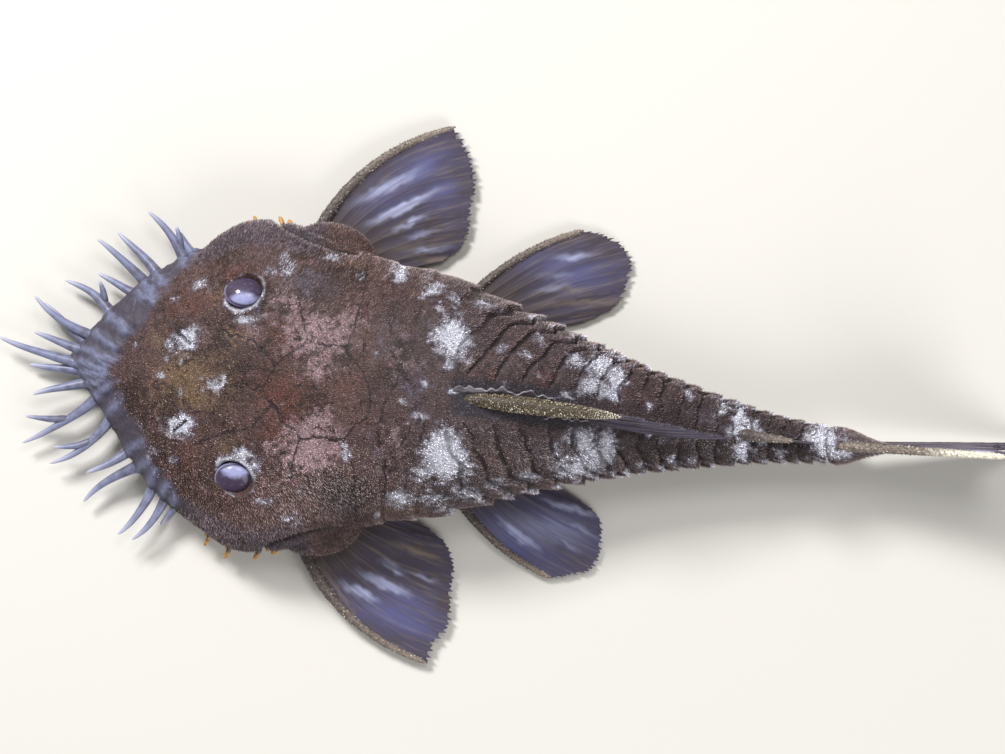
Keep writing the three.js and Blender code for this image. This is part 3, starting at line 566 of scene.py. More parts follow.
def armour_colour(tree, colours, tone=None):
    """Colour of the armour, shared by the skin and its prickles: browns in clouds, coloured areas,
    grooves darkened by painted shade over their darker skin, bare bluish skin whose dark mottling is
    partly painted shade of its folds, a pale belly and broken white patches. A prickle's own tone decides
    whether it belongs to an area, so that areas end in single grains."""
    place = add(tree, "ShaderNodeTexCoord", out="Object")
    cloud, mottle, blot, grain = (
        add(
            tree,
            "ShaderNodeTexNoise",
            {"Vector": place, "Scale": 1000 / size, "Detail": detail, "Roughness": 0.6},
        )
        for size, detail in ((9.0, 3.0), (2.6, 4.0), (0.9, 3.0), (0.4, 1.0))
    )
    frost, rose, ochre, russet, violet, plum, naked, fold, groove, belly, band, dusk = (
        add(tree, "ShaderNodeAttribute", out="Fac", attribute_name=name)
        for name in "frost rose ochre russet violet plum naked fold groove belly band dusk".split()
    )
    clouded, mottled, flecked, specked, grooves_and_shade, half_grooves_and_shade = (
        add(
            tree,
            "ShaderNodeMapRange",
            {0: value, 1: starts, 2: full, 4: strength},
            interpolation_type="SMOOTHSTEP",
        )
        for value, starts, full, strength in (
            (cloud, 0.38, 0.62, 1.0),
            (mottle, 0.5, 0.66, 0.6),
            (blot, 0.56, 0.72, 0.5),
            (blot, 0.47, 0.36, 0.6),
            (groove, 0.4, 0.8, 0.8),
            (groove, 0.4, 0.8, 0.5),
        )
    )

    def worn(mask, starts, full, amount, strength, single=0.0):
        """A mask whose edge is broken up by the mottling, the blots and the single prickles."""
        even = {0: tone or grain, 1: single, 2: 1 - 0.5 * single}
        share = add(tree, "ShaderNodeMath", even, operation="MULTIPLY_ADD")
        value = add(tree, "ShaderNodeMath", {0: mask, 1: share}, operation="MULTIPLY")
        for noise in (mottle, blot):
            value = add(tree, "ShaderNodeMath", {0: noise, 1: amount, 2: value}, operation="MULTIPLY_ADD")
        ends = {0: value, 1: starts + amount, 2: full + amount, 4: strength}
        return add(tree, "ShaderNodeMapRange", ends, interpolation_type="SMOOTHSTEP")

    layers = [
        (clouded, colours.brown),
        (mottled, colours.chestnut),
        (flecked, colours.olive),
        (plum, colours.plum),
        (worn(ochre, 0.2, 1.0, 1.0, 0.8, 0.4), colours.ochre),
        (worn(russet, 0.2, 1.1, 1.0, 0.7, 0.4), colours.russet),
        (worn(violet, 0.2, 1.0, 1.2, 0.6, 0.5), colours.violet),
        (worn(rose, 0.2, 1.1, 1.4, 0.95, 1.2), colours.rose),
        (specked, colours.dusk),
        (worn(dusk, 0.1, 1.0, 0.8, 0.7, 0.3), colours.dusk),
        (band, colours.slate),
        (naked, colours.naked),
        # Darker slate mottling of the bare rim, placed by noise: partly the rim's own and partly painted
        # shade for the hollows between its folds
        (worn(naked, 0.75, 1.15, 1.5, 0.75), colours.slate),
        (fold, colours.tentacle),
        (belly, colours.belly),
        # Painted shade in the seams, the gaps in front of the plates, the gill clefts and the nostril slits,
        # over their darker skin
        (grooves_and_shade, colours.groove),
        (worn(frost, 0.0, 0.6, 1.2, 0.45, 0.6), colours.violet),
        (worn(frost, 0.25, 1.15, 1.3, 1.0, 1.1), colours.frost),
        # The grooves' painted shade once more, over the white patches
        (half_grooves_and_shade, colours.groove),
    ]
    return layered(tree, colours.umber, layers), place, grain, naked


def skin_material(colours):
    """Wet leathery fish skin over bone: matt between the prickles, with a soft satin gloss, and darkened
    there by painted shade where it bears prickles. Its pits are drawn 0.3 mm wide, coarser than real
    ones, so that they show."""
    material, tree = new_material("fish_skin_over_bone")
    colour, place, grain, naked = armour_colour(tree, colours)
    pits = add(
        tree, "ShaderNodeTexVoronoi", {"Vector": place, "Scale": 1000 / 0.3, "Randomness": 0.9}, "Distance"
    )
    belly = add(tree, "ShaderNodeAttribute", out="Fac", attribute_name="belly")
    bare = add(tree, "ShaderNodeMath", {0: naked, 1: belly}, operation="MAXIMUM")
    # Painted shade between the prickles: the armoured skin is darkened to between 0.7 and 0.35 of its
    # colour, most where its bump is low. Bare skin gets random blotches instead.
    spots = add(tree, "ShaderNodeMapRange", {0: pits, 1: 0.1, 2: 0.6, 3: 0.7, 4: 0.35})
    blotches = add(tree, "ShaderNodeMapRange", {0: grain, 1: 0.3, 2: 0.7, 3: 0.75, 4: 1.1})
    shade = add(tree, "ShaderNodeMix", {0: bare, 2: spots, 3: blotches})
    height = add(tree, "ShaderNodeMath", {0: pits, 1: -1.0}, operation="MULTIPLY")
    fold = add(tree, "ShaderNodeTexNoise", {"Vector": place, "Scale": 1000 / 0.8, "Detail": 3.0})
    relief = add(tree, "ShaderNodeMix", {0: naked, 2: height, 3: fold})
    rough = add(tree, "ShaderNodeMapRange", {0: grain, 3: 0.45, 4: 0.75})
    finish = {
        "Base Color": scaled_colour(tree, colour, shade),
        "Specular IOR Level": 0.3,
        "Roughness": rough,
        "Normal": add(tree, "ShaderNodeBump", {"Height": relief, "Strength": 0.7, "Distance": 0.12 * MM}),
        "Subsurface Weight": 0.08,
        "Subsurface Radius": (1.0, 0.5, 0.4),
        "Subsurface Scale": 0.6 * MM,
    }
    return finish_material(material, finish)


def prickle_material(colours):
    """Tooth enamel over dentine, the stuff of the skin's prickles: skin-coloured at the root and
    pale and slightly glossy at the tip, the tips of random prickles paler still as painted glints."""
    material, tree = new_material("prickle_enamel")
    tip, tone, hoar = (
        add(tree, "ShaderNodeAttribute", out="Fac", attribute_name=name) for name in ("tip", "tone", "hoar")
    )
    colour = armour_colour(tree, colours, tone)[0]
    shade = add(tree, "ShaderNodeMapRange", {0: tone, 3: 0.32, 4: 1.5})
    # How pale each prickle's tip gets, by its own random tone: partly the enamel's paleness and partly
    # painted glints
    pale_tone_and_glint = add(tree, "ShaderNodeMapRange", {0: tone, 1: 0.4, 2: 1.0, 3: 0.12, 4: 0.72})
    hoary = add(tree, "ShaderNodeMath", {0: hoar, 1: 0.5, 2: pale_tone_and_glint}, operation="MULTIPLY_ADD")
    paled = add(tree, "ShaderNodeMath", {0: tip, 1: hoary}, operation="MULTIPLY")
    colour = add(
        tree,
        "ShaderNodeMix",
        {0: paled, 6: scaled_colour(tree, colour, shade), 7: colours.enamel},
        2,
        data_type="RGBA",
        blend_type="LIGHTEN",
    )
    return finish_material(material, {"Base Color": colour, "Roughness": 0.4})


def spine_material(name, root_colour, tip_colour, turns_at=(0.45, 1.1), gleam=0.0):
    """Bony fin spine or hook: horn-like, darker at the root and pale at the tip, with fine grain."""
    material, tree = new_material(name)
    place = add(tree, "ShaderNodeTexCoord", out="Object")
    along = add(tree, "ShaderNodeAttribute", out="Fac", attribute_name="along")
    grain = add(tree, "ShaderNodeTexNoise", {"Vector": place, "Scale": 1000 / 0.35, "Detail": 3.0})
    wander = add(tree, "ShaderNodeMath", {0: grain, 1: 0.5, 2: along}, operation="MULTIPLY_ADD")
    share = add(tree, "ShaderNodeMapRange", {0: wander, 1: turns_at[0], 2: turns_at[1]})
    shade = add(tree, "ShaderNodeMapRange", {0: grain, 1: 0.3, 2: 0.7, 3: 0.6, 4: 1.3})
    finish = {
        "Base Color": scaled_colour(tree, layered(tree, root_colour, [(share, tip_colour)]), shade),
        "Roughness": 0.6,
        "Normal": add(tree, "ShaderNodeBump", {"Height": grain, "Strength": 0.6, "Distance": 0.1 * MM}),
    }
    if gleam:
        finish["Coat Weight"] = gleam
        finish["Coat Roughness"] = 0.2
    return finish_material(material, finish)


def grain_material(name, low_colour, high_colour, tip_colour, pales_at):
    """Enamel grains of a fin spine: each of its own tone from dark to bright, the brightest lightened
    further as painted glints, all paler at the spine's tip, with a slight gleam."""
    material, tree = new_material(name)
    along, tone = (
        add(tree, "ShaderNodeAttribute", out="Fac", attribute_name=name) for name in ("along", "tone")
    )
    # The brightest quarter of the grains is lightened towards the tip colour as painted glints
    pale_tone_and_glint = add(tree, "ShaderNodeMapRange", {0: tone, 1: 0.75, 2: 1.0, 4: 0.7})
    ends = add(tree, "ShaderNodeMapRange", {0: along, 1: pales_at[0], 2: pales_at[1], 4: 0.9})
    paler = add(tree, "ShaderNodeMath", {0: pale_tone_and_glint, 1: ends}, operation="MAXIMUM")
    colour = layered(tree, low_colour, [(tone, high_colour), (paler, tip_colour)])
    return finish_material(material, {"Base Color": colour, "Roughness": 0.42})


def tentacle_material(colours):
    """Soft naked skin of the tentacles: smooth, slightly see-through, paler in mottled patches and towards
    the tip.
    """
    material, tree = new_material("soft_naked_skin")
    place = add(tree, "ShaderNodeTexCoord", out="Object")
    along = add(tree, "ShaderNodeAttribute", out="Fac", attribute_name="along")
    mottle = add(tree, "ShaderNodeTexNoise", {"Vector": place, "Scale": 1000 / 1.1, "Detail": 3.0})
    lit = add(tree, "ShaderNodeMath", {0: mottle, 1: 1.6, 2: along}, operation="MULTIPLY_ADD")
    pale = add(tree, "ShaderNodeMapRange", {0: lit, 1: 0.7, 2: 1.5})
    toward_tip = add(tree, "ShaderNodeMapRange", {0: along, 1: 0.75, 2: 1.0, 4: 0.35})
    finish = {
        "Base Color": layered(tree, colours.naked, [(pale, colours.tentacle), (toward_tip, colours.frost)]),
        "Roughness": 0.42,
        "Normal": add(tree, "ShaderNodeBump", {"Height": mottle, "Strength": 0.4, "Distance": 0.15 * MM}),
        "Subsurface Weight": 0.25,
        "Subsurface Radius": (1.0, 0.7, 0.6),
        "Subsurface Scale": 0.8 * MM,
    }
    return finish_material(material, finish)


def fin_material(name, root, middle, ray_colour, colours, rays_show=0.25):
    """Fin membrane on bony rays: thin violet-brown skin, with pale, blue and tan streaks along the
    rays and a darker root. The pale streaks of the paired fins are partly their own and partly painted
    highlight."""
    material, tree = new_material(name)
    number, along, ray, pale, blue, tan = (
        add(tree, "ShaderNodeAttribute", out="Fac", attribute_name=name)
        for name in ("ray_number", "along", "ray", "pale", "blue", "tan")
    )
    place = add(tree, "ShaderNodeTexCoord", out="Object")
    mottle = add(tree, "ShaderNodeTexNoise", {"Vector": place, "Scale": 1000 / 2.2, "Detail": 4.0})
    # Fibres drawn out along the rays, by their number to a ray and to a ray's length
    unrolled = add(tree, "ShaderNodeCombineXYZ", {0: number, 1: along})
    broad, fine = (
        add(
            tree,
            "ShaderNodeTexNoise",
            {
                "Vector": add(tree, "ShaderNodeVectorMath", {0: unrolled, 1: numbers}, operation="MULTIPLY"),
                "Scale": 1.0,
                "Detail": detail,
            },
        )
        for numbers, detail in (((2.0, 1.6, 0.0), 2.0), ((5.0, 3.0, 0.0), 3.0))
    )
    past_root, mottled, patchy, streaky, dark, light, glowing, frayed, on_ray = (
        add(
            tree,
            "ShaderNodeMapRange",
            {0: value, 1: starts, 2: full, 3: least, 4: most},
            interpolation_type="SMOOTHSTEP",
        )
        for value, starts, full, least, most in (
            (along, 0.15, 0.6, 0.0, 1.0),
            (mottle, 0.4, 0.7, 0.0, 0.7),
            (broad, 0.3, 0.65, 0.5, 1.0),
            (broad, 0.3, 0.6, 0.45, 1.0),
            (broad, 0.5, 0.72, 0.0, 0.45),
            (fine, 0.5, 0.72, 0.0, 0.4),
            (pale, 0.05, 1.0, 0.0, 0.95),
            (fine, 0.3, 0.55, 0.5, 1.0),
            (ray, 0.5, 1.0, 0.0, rays_show),
        )
    )
    bluish, tanned, lit = (
        add(tree, "ShaderNodeMath", {0: mask, 1: broken}, operation="MULTIPLY")
        for mask, broken in ((blue, patchy), (tan, streaky), (glowing, streaky))
    )
    lit = add(tree, "ShaderNodeMath", {0: lit, 1: frayed}, operation="MULTIPLY")
    layers = [
        (past_root, middle),
        (mottled, root),
        (bluish, colours.fin_blue),
        (light, ray_colour),
        (dark, root),
        (tanned, ray_colour),
        # Lavender streaks: partly the fins' own, partly painted highlight
        (lit, colours.fin_streak),
        (on_ray, ray_colour),
    ]
    finish = {
        "Base Color": layered(tree, root, layers),
        "Roughness": 0.62,
        "Specular IOR Level": 0.2,
        "Normal": add(tree, "ShaderNodeBump", {"Height": fine, "Strength": 0.3, "Distance": 0.08 * MM}),
        "Subsurface Weight": 0.1,
        "Subsurface Radius": (1.0, 0.7, 0.7),
        "Subsurface Scale": 0.4 * MM,
    }
    return finish_material(material, finish)


def eye_material(colours):
    """Wet cornea over the iris: a dark pupil, a speckled pale flap of iris hanging over it from the
    inner side, and a lilac ring, all under one clear glossy coat."""
    material, tree = new_material("wet_eye")
    place = add(tree, "ShaderNodeTexCoord", out="Object")
    speckle = add(tree, "ShaderNodeTexNoise", {"Vector": place, "Scale": 1000 / 0.5, "Detail": 3.0})
    flap, ring = (
        add(tree, "ShaderNodeAttribute", out="Fac", attribute_name=name) for name in ("flap", "ring")
    )
    broken = add(tree, "ShaderNodeMath", {0: speckle, 1: 0.9, 2: flap}, operation="MULTIPLY_ADD")
    flapped = add(tree, "ShaderNodeMapRange", {0: broken, 1: 0.5, 2: 1.45})
    finish = {
        "Base Color": layered(tree, colours.pupil, [(flapped, colours.iris), (ring, colours.iris)]),
        "Roughness": 0.55,
        "Specular IOR Level": 0.2,
        "Coat Weight": 0.3,
        "Coat Roughness": 0.03,
    }
    return finish_material(material, finish)


def lip_material(colours):
    """Soft wet lip skin: pale, slightly pink and brown mottled."""
    material, tree = new_material("soft_lip_skin")
    place = add(tree, "ShaderNodeTexCoord", out="Object")
    mottle = add(tree, "ShaderNodeTexNoise", {"Vector": place, "Scale": 1000 / 1.4, "Detail": 4.0})
    share = add(tree, "ShaderNodeMapRange", {0: mottle, 1: 0.4, 2: 0.65})
    finish = {
        "Base Color": layered(tree, colours.belly, [(share, colours.rose)]),
        "Roughness": 0.4,
        "Normal": add(tree, "ShaderNodeBump", {"Height": mottle, "Strength": 0.5, "Distance": 0.2 * MM}),
        "Subsurface Weight": 0.2,
        "Subsurface Scale": 0.8 * MM,
    }
    return finish_material(material, finish)


def floor_material(colours):
    """Matt studio paper: pale and even, with a faint fibre."""
    material, tree = new_material("studio_paper")
    place = add(tree, "ShaderNodeTexCoord", out="Object")
    fibre = add(tree, "ShaderNodeTexNoise", {"Vector": place, "Scale": 1000 / 1.5, "Detail": 3.0})
    bump = add(tree, "ShaderNodeBump", {"Height": fibre, "Strength": 0.1, "Distance": 0.05 * MM})
    return finish_material(material, {"Base Color": colours.paper, "Roughness": 0.9, "Normal": bump})


MATERIALS = {
    "skin": skin_material,
    "prickle": prickle_material,
    "tentacle": tentacle_material,
    "fin": lambda c: fin_material("fin_membrane", c.fin_root, c.fin, c.ray, c),
    "folded_fin": lambda c: fin_material("folded_fin_membrane", c.groove, c.fin, c.frill, c, 0.4),
    "frill": lambda c: fin_material("frayed_fin_skin", c.slate, c.frill, c.frill, c),
    "eye": eye_material,
    "lip": lip_material,
    "paper": floor_material,
    "back_spine": lambda c: spine_material("back_spine_bone", c.spine_root, c.spine_root),
    "gilded": lambda c: grain_material(
        "gilded_enamel", c.spine_root, c.spine_gold, c.spine_tip_and_glint, (0.78, 0.95)
    ),
    "fin_spine": lambda c: spine_material("fin_spine_bone", c.fin_root, c.ray),
    "tail_spine": lambda c: spine_material("tail_spine_bone", c.ray, c.spine_tip_and_glint, (0.75, 1.0)),
    "low_spine": lambda c: spine_material("low_spine_bone", c.fin_root, c.slate),
    "bone_grain": lambda c: grain_material("bone_enamel", c.fin_root, c.ray, c.spine_tip_and_glint, (0.8, 1.2)),
    "tail_grain": lambda c: grain_material("tail_enamel", c.fin_root, c.ray, c.spine_tip_and_glint, (0.5, 0.8)),
    "hook": lambda c: spine_material("hook_horn", c.naked, c.amber, (0.85, 1.05), gleam=0.2),
}
made_materials = {}


def material_for(key):
    """The material of that key, made when it is first asked for."""
    if key not in made_materials:
        made_materials[key] = MATERIALS[key](bpy.context.scene.bristlenose_colours)
    return made_materials[key]


# Geometry Nodes


def new_tree(name, inputs):
    """A geometry tree with named inputs after its geometry."""
    tree = bpy.data.node_groups.new(name, "GeometryNodeTree")
    tree.interface.new_socket("Geometry", in_out="INPUT", socket_type="NodeSocketGeometry")
    for label, kind in inputs.items():
        tree.interface.new_socket(label, in_out="INPUT", socket_type="NodeSocket" + kind)
    tree.interface.new_socket("Geometry", in_out="OUTPUT", socket_type="NodeSocketGeometry")
    return tree, add(tree, "NodeGroupInput").node.outputs


def end_tree(tree, geometry, material):
    """Realizes the instances and gives them their material."""
    real = add(tree, "GeometryNodeRealizeInstances", {"Geometry": geometry})
    dressed = add(tree, "GeometryNodeSetMaterial", {"Geometry": real, "Material": material})
    add(tree, "NodeGroupOutput", {0: dressed})
    return tree


def coat_tree():
    """Prickles strewn over a skin, leaning the way that its lay attribute gives."""
    tree, given = new_tree(
        "strewn_prickles",
        {
            "Where": "String", "Spacing": "Float", "Density": "Float", "Prickle": "Object",
            "Length": "Float", "Lean": "Float", "Scatter": "Float", "Seed": "Int", "Material": "Material",
        },
    )
    density, growth, lay = (
        add(tree, "GeometryNodeInputNamedAttribute", {"Name": name}, data_type=kind)
        for name, kind in ((given["Where"], "FLOAT"), ("growth", "FLOAT"), ("lay", "FLOAT_VECTOR"))
    )
    roots = add(
        tree,
        "GeometryNodeDistributePointsOnFaces",
        {
            "Mesh": given["Geometry"],
            "Distance Min": given["Spacing"],
            "Density Max": given["Density"],
            "Density Factor": density,
            "Seed": given["Seed"],
        },
        distribute_method="POISSON",
    )
    astray = add(
        tree,
        "FunctionNodeRandomValue",
        {"Min": (-1, -1, -1), "Max": (1, 1, 1), "Seed": given["Seed"]},
        data_type="FLOAT_VECTOR",
    )
    way = roots.node.outputs["Normal"]
    for pull, amount in ((lay, given["Lean"]), (astray, given["Scatter"])):
        pulled = add(tree, "ShaderNodeVectorMath", {0: pull, "Scale": amount}, operation="SCALE")
        way = add(tree, "ShaderNodeVectorMath", {0: way, 1: pulled}, operation="ADD")
    turned = add(tree, "FunctionNodeAlignRotationToVector", {"Vector": way}, axis="Z")
    size = add(
        tree, "FunctionNodeRandomValue", {2: 0.65, 3: 1.35, "Seed": given["Seed"]}, 1, data_type="FLOAT"
    )
    tone = add(tree, "FunctionNodeRandomValue", {"Seed": 77}, 1, data_type="FLOAT")
    toned = add(
        tree,
        "GeometryNodeStoreNamedAttribute",
        {"Geometry": roots, "Name": "tone", "Value": tone},
        data_type="FLOAT",
        domain="POINT",
    )
    wide = add(tree, "ShaderNodeMath", {0: size, 1: given["Length"]}, operation="MULTIPLY")
    long = add(tree, "ShaderNodeMath", {0: wide, 1: growth}, operation="MULTIPLY")
    sized = add(tree, "ShaderNodeCombineXYZ", {0: wide, 1: wide, 2: long})
    shape = add(tree, "GeometryNodeObjectInfo", {"Object": given["Prickle"]}, "Geometry")
    placed = add(
        tree,
        "GeometryNodeInstanceOnPoints",
        {"Points": toned, "Instance": shape, "Rotation": turned, "Scale": sized},
    )
    return end_tree(tree, placed, given["Material"])


def tube_tree():
    """Round tubes along lines of points, as wide as their radius attribute says."""
    tree, given = new_tree("tapered_tubes", {"Sides": "Int", "Material": "Material"})
    radius = add(tree, "GeometryNodeInputNamedAttribute", {"Name": "radius_mm"}, data_type="FLOAT")
    lines = add(tree, "GeometryNodeMeshToCurve", {"Mesh": given["Geometry"]})
    circle = add(tree, "GeometryNodeCurvePrimitiveCircle", {"Resolution": given["Sides"], "Radius": MM})
    tubes = add(
        tree,
        "GeometryNodeCurveToMesh",
        {"Curve": lines, "Profile Curve": circle, "Scale": radius, "Fill Caps": True},
    )
    return end_tree(tree, tubes, given["Material"])


TREES = {"coat": coat_tree, "tube": tube_tree}
made_trees = {}


def grow(name, carrier, key, inputs, smooth=True):
    """Runs a tree on a carrier and keeps its result as a plain mesh object."""
    if key not in made_trees:
        made_trees[key] = TREES[key]()
    tree = made_trees[key]
    modifier = carrier.modifiers.new("grown", "NODES")
    modifier.node_group = tree
    for item in tree.interface.items_tree:
        if item.in_out == "INPUT" and item.name in inputs:
            modifier[item.identifier] = inputs[item.name]
    bpy.context.view_layer.update()
    shown = bpy.context.evaluated_depsgraph_get()
    mesh = bpy.data.meshes.new_from_object(carrier.evaluated_get(shown), depsgraph=shown)
    carrier.modifiers.remove(modifier)
    if not len(mesh.polygons):
        raise RuntimeError(f"{name} came out empty")
    mesh.name = name
    mesh.polygons.foreach_set("use_smooth", [smooth] * len(mesh.polygons))
    return bring_in(name, mesh)


def prickle_shape(sides, width, hook):
    """A small closed tooth one unit long, with its tip attribute rising from the root."""
    levels = [(-0.15, width / 2), (0.45, width * 0.36)] if hook else [(-0.15, width / 2)]
    points = []
    for height, radius in levels:
        for k in range(sides):
            angle = 2 * math.pi * k / sides
            bend = hook * max(height, 0) ** 2
            points.append((radius * math.cos(angle) + bend, radius * math.sin(angle), height))
    points.append((hook, 0, 1.0))
    faces = [list(reversed(range(sides))), *ring_faces(len(levels), sides).tolist()]
    top = (len(levels) - 1) * sides
    for k in range(sides):
        faces.append([top + k, top + (k + 1) % sides, len(points) - 1])
    tips = [min(max(p[2], 0), 1) for p in points]
    made = piece("prickle_shape", points, faces, None, {"tip": tips})
    made.data.transform(Matrix.Scale(1 / MM, 4))
    return made


def add_bake_map(mesh, flat):
    """Gives a mesh the UV map that its finish is baked to, from one flat place for each point."""
    at = np.zeros(len(mesh.loops), np.int32)
    mesh.loops.foreach_get("vertex_index", at)
    layer = mesh.uv_layers.new(name="OFBake")
    layer.data.foreach_set("uv", flat[at].astype(np.float32).ravel())


def map_prickles(mesh, corners):
    """A bake map where each prickle is a small patch at its root's place on the skin's unwrap."""
    patch = 0.003  # share of the map's width
    roots = np.zeros(len(mesh.vertices) * 3, np.float32)
    mesh.attributes["root_uv"].data.foreach_get("vector", roots)
    roots = roots.reshape(-1, 3)[:, :2]
    number = np.arange(len(roots)) % corners
    angle = 2 * np.pi * number / (corners - 1)
    reach = np.where(number == corners - 1, 0, patch / 2)
    add_bake_map(mesh, roots + np.stack([np.cos(angle), np.sin(angle)], 1) * reach[:, None])


def strew(name, carrier, seed, where="coat", *, lean, length, scatter=0.4, spacing=None, width=0.7,
          material="prickle", sides=4, hook=0.0, crowding=1.6, smooth=False):
    """Prickles on a carrier, as dense as the attribute named in where says."""
    spacing = spacing or bpy.context.scene.bristlenose_sizes.prickle_spacing
    shape = prickle_shape(sides, width, hook)
    corners = len(shape.data.vertices)
    inputs = {
        "Where": where,
        "Spacing": spacing,
        "Density": crowding / spacing**2,
        "Prickle": shape,
        "Length": length,
        "Lean": lean,
        "Scatter": scatter,
        "Seed": seed,
        "Material": material_for(material),
    }
    coat = grow(name, carrier, "coat", inputs, smooth)
    bpy.data.objects.remove(shape)
    map_prickles(coat.data, corners)
    return coat


# The skin


def plate_edges():
    """Edges of the body's plates, the longest plates beside the back fin."""
    longest_at = PLATE_LENGTHS["longest_at"]
    edges = [HEAD_ENDS]
    while edges[-1] < BODY_LENGTH - 1.25 * PLATE_LENGTHS["last"]:
        s = edges[-1]
        growing = between(s, HEAD_ENDS, longest_at)
        length = mix(PLATE_LENGTHS["first"], PLATE_LENGTHS["longest"], growing)
        if s >= longest_at:
            shrinking = ((s - longest_at) / (BODY_LENGTH - longest_at)) ** PLATE_LENGTHS["haste"]
            length = mix(PLATE_LENGTHS["longest"], PLATE_LENGTHS["last"], shrinking)
        edges.append(s + float(length))
    return edges + [BODY_LENGTH]


def skin_turns(columns):
    """Turns round the section, close together above and wider apart under the belly."""
    turn = np.linspace(0, 180, 2000)
    ring = skin_at(30.0, turn)[0]
    step = np.linalg.norm(np.diff(ring, axis=0), axis=1)
    wanted = mix(1.0, 0.22, between(turn[1:], 100, 125))
    walked = np.concatenate([[0], np.cumsum(step * wanted)])
    right = np.interp(np.linspace(0, walked[-1], columns // 2 + 1), walked, turn)
    return np.concatenate([right, -right[1:-1][::-1]])


def skin_rings(head_spacing):
    """Places of the skin's rings, how far each is through its plate, and that plate's length."""
    head = np.arange(0, HEAD_ENDS - head_spacing / 2, head_spacing)
    places = list(head)
    phases = [-1.0] * len(head)
    lengths = [1.0] * len(head)
    edges = plate_edges()
    for start, end in zip(edges, edges[1:]):
        for share in RINGS_IN_PLATE:
            places.append(mix(start, end, share))
            phases.append(share)
            lengths.append(end - start)
    return np.array(places), np.array(phases), np.array(lengths)


def plate_relief(p, phase, length, turn):
    """Backward lag and height of the plates, with masks for grooves, where shade is painted, rear edges and
    plated skin.
    """
    slant = PLATE_SLANT
    p, phase, length = p[:, None], phase[:, None], length[:, None]
    around = np.abs(turn)[None, :]
    changed = between(p, *ROWS_CHANGE)
    middle = np.zeros(np.broadcast_shapes(p.shape, around.shape))
    seam = np.full(middle.shape, 1e9)
    for row in range(5):
        low = mix(TRUNK_ROWS[row], TAIL_ROWS[row], changed)
        high = mix(TRUNK_ROWS[row + 1], TAIL_ROWS[row + 1], changed)
        inside = (around >= low) & (around < high)
        share = np.clip((around - low) / (high - low), 0, 1)
        middle = np.where(inside, np.sin(np.pi * share), middle)
        seam = np.minimum(seam, np.abs(around - high) * np.pi / 180 * half_at(p))

    # How far each plate's rear edge lags behind, by its slant, its sweep at the flank and its point
    on_plates = phase >= 0
    lowest = mix(TRUNK_ROWS[-1], TAIL_ROWS[-1], changed)
    plated = 1 - between(around, lowest, lowest + 6)
    grown = between(p, HEAD_ENDS, slant["full"])
    side = np.where(turn > 0, slant["right"], slant["left"])[None, :]
    fading = 1 - between(p, slant["fades"], slant["gone"])
    out = half_at(p) * np.sin(np.radians(np.minimum(around, 90)))
    flank = hump(around, 46, 62, 104, 116)
    tooth = mix(PLATE_POINT, FLANK_POINT, flank) * grown * (1 - between(p, 98, 104))
    spots = np.stack(np.broadcast_arrays(p, np.sign(turn)[None, :] * out, 0.0), -1)
    swept = np.maximum(FLANK_SWEEP["reach"] - (half_at(p) - out), 0) * FLANK_SWEEP["by"]
    back = (side * np.maximum(out - slant["level"], 0) + swept) * grown * fading
    back = back + tooth * middle + 0.3 * waves(spots, 5.0, 17) * on_plates

    # Where the relief shows: it leaves a smooth band along the back, this half as wide
    plain = mix(2.0, 1.0, between(p, 66, 74))
    clear = between(out, plain, plain + 1.6)
    clear = mix(0.6 * between(out, 5, 9), clear, between(p, 47, 52))
    clear = mix(clear, 1.0, between(p, 80, 86))

    # Each plate rises from the gap in front of it to its rear edge, and more on the flank
    raised = bpy.context.scene.bristlenose_sizes.plate_raise / MM
    raised = raised * mix(0.45, 1.0, grown) * mix(1.0, 0.7, between(p, 84, 104))
    walked = phase * length
    gap = GAP_WIDTH * mix(0.5, 1.0, between(out, 2, 6)) * mix(0.5, 1.0, grown)
    gap = np.minimum(gap, 0.24 * length)
    step = 0.6 * gap
    rise = np.where(on_plates, 0.75 * between(walked, step, step + 0.7) + 0.5 * phase - 0.45, 0)
    height = raised * rise * mix(0.6, 1.0, middle) * mix(1.0, 1.5, flank) * plated * clear
    height = height + 0.3 * flank * grown * plated * (between(phase, 0.2, 1) - 0.4) * on_plates
    height = height - 0.06 * np.exp(-((seam / 0.2) ** 2)) * plated * on_plates * grown
    faint = np.clip(0.85 + 0.4 * waves(spots, 3.6, 19), 0.3, 1)
    # The gap in front of each plate, where shade is painted over its bare skin
    groove = (1 - between(walked, step, 1.4 * gap)) * on_plates * plated * clear * faint
    rim = between(phase, 0.55, 0.9) * on_plates * plated * clear
    return back, height, groove, rim


def eye_frame(side):
    """Where an eye stands on the skin, its way out, and its way down the flank."""
    tilt = math.radians(EYE["tilt"])
    spot = skin_above(EYE["s"], side * EYE["out"])
    out = np.array([0, side * math.sin(tilt), math.cos(tilt)])
    down = np.array([0, side * math.cos(tilt), -math.sin(tilt)])
    return spot, out, down


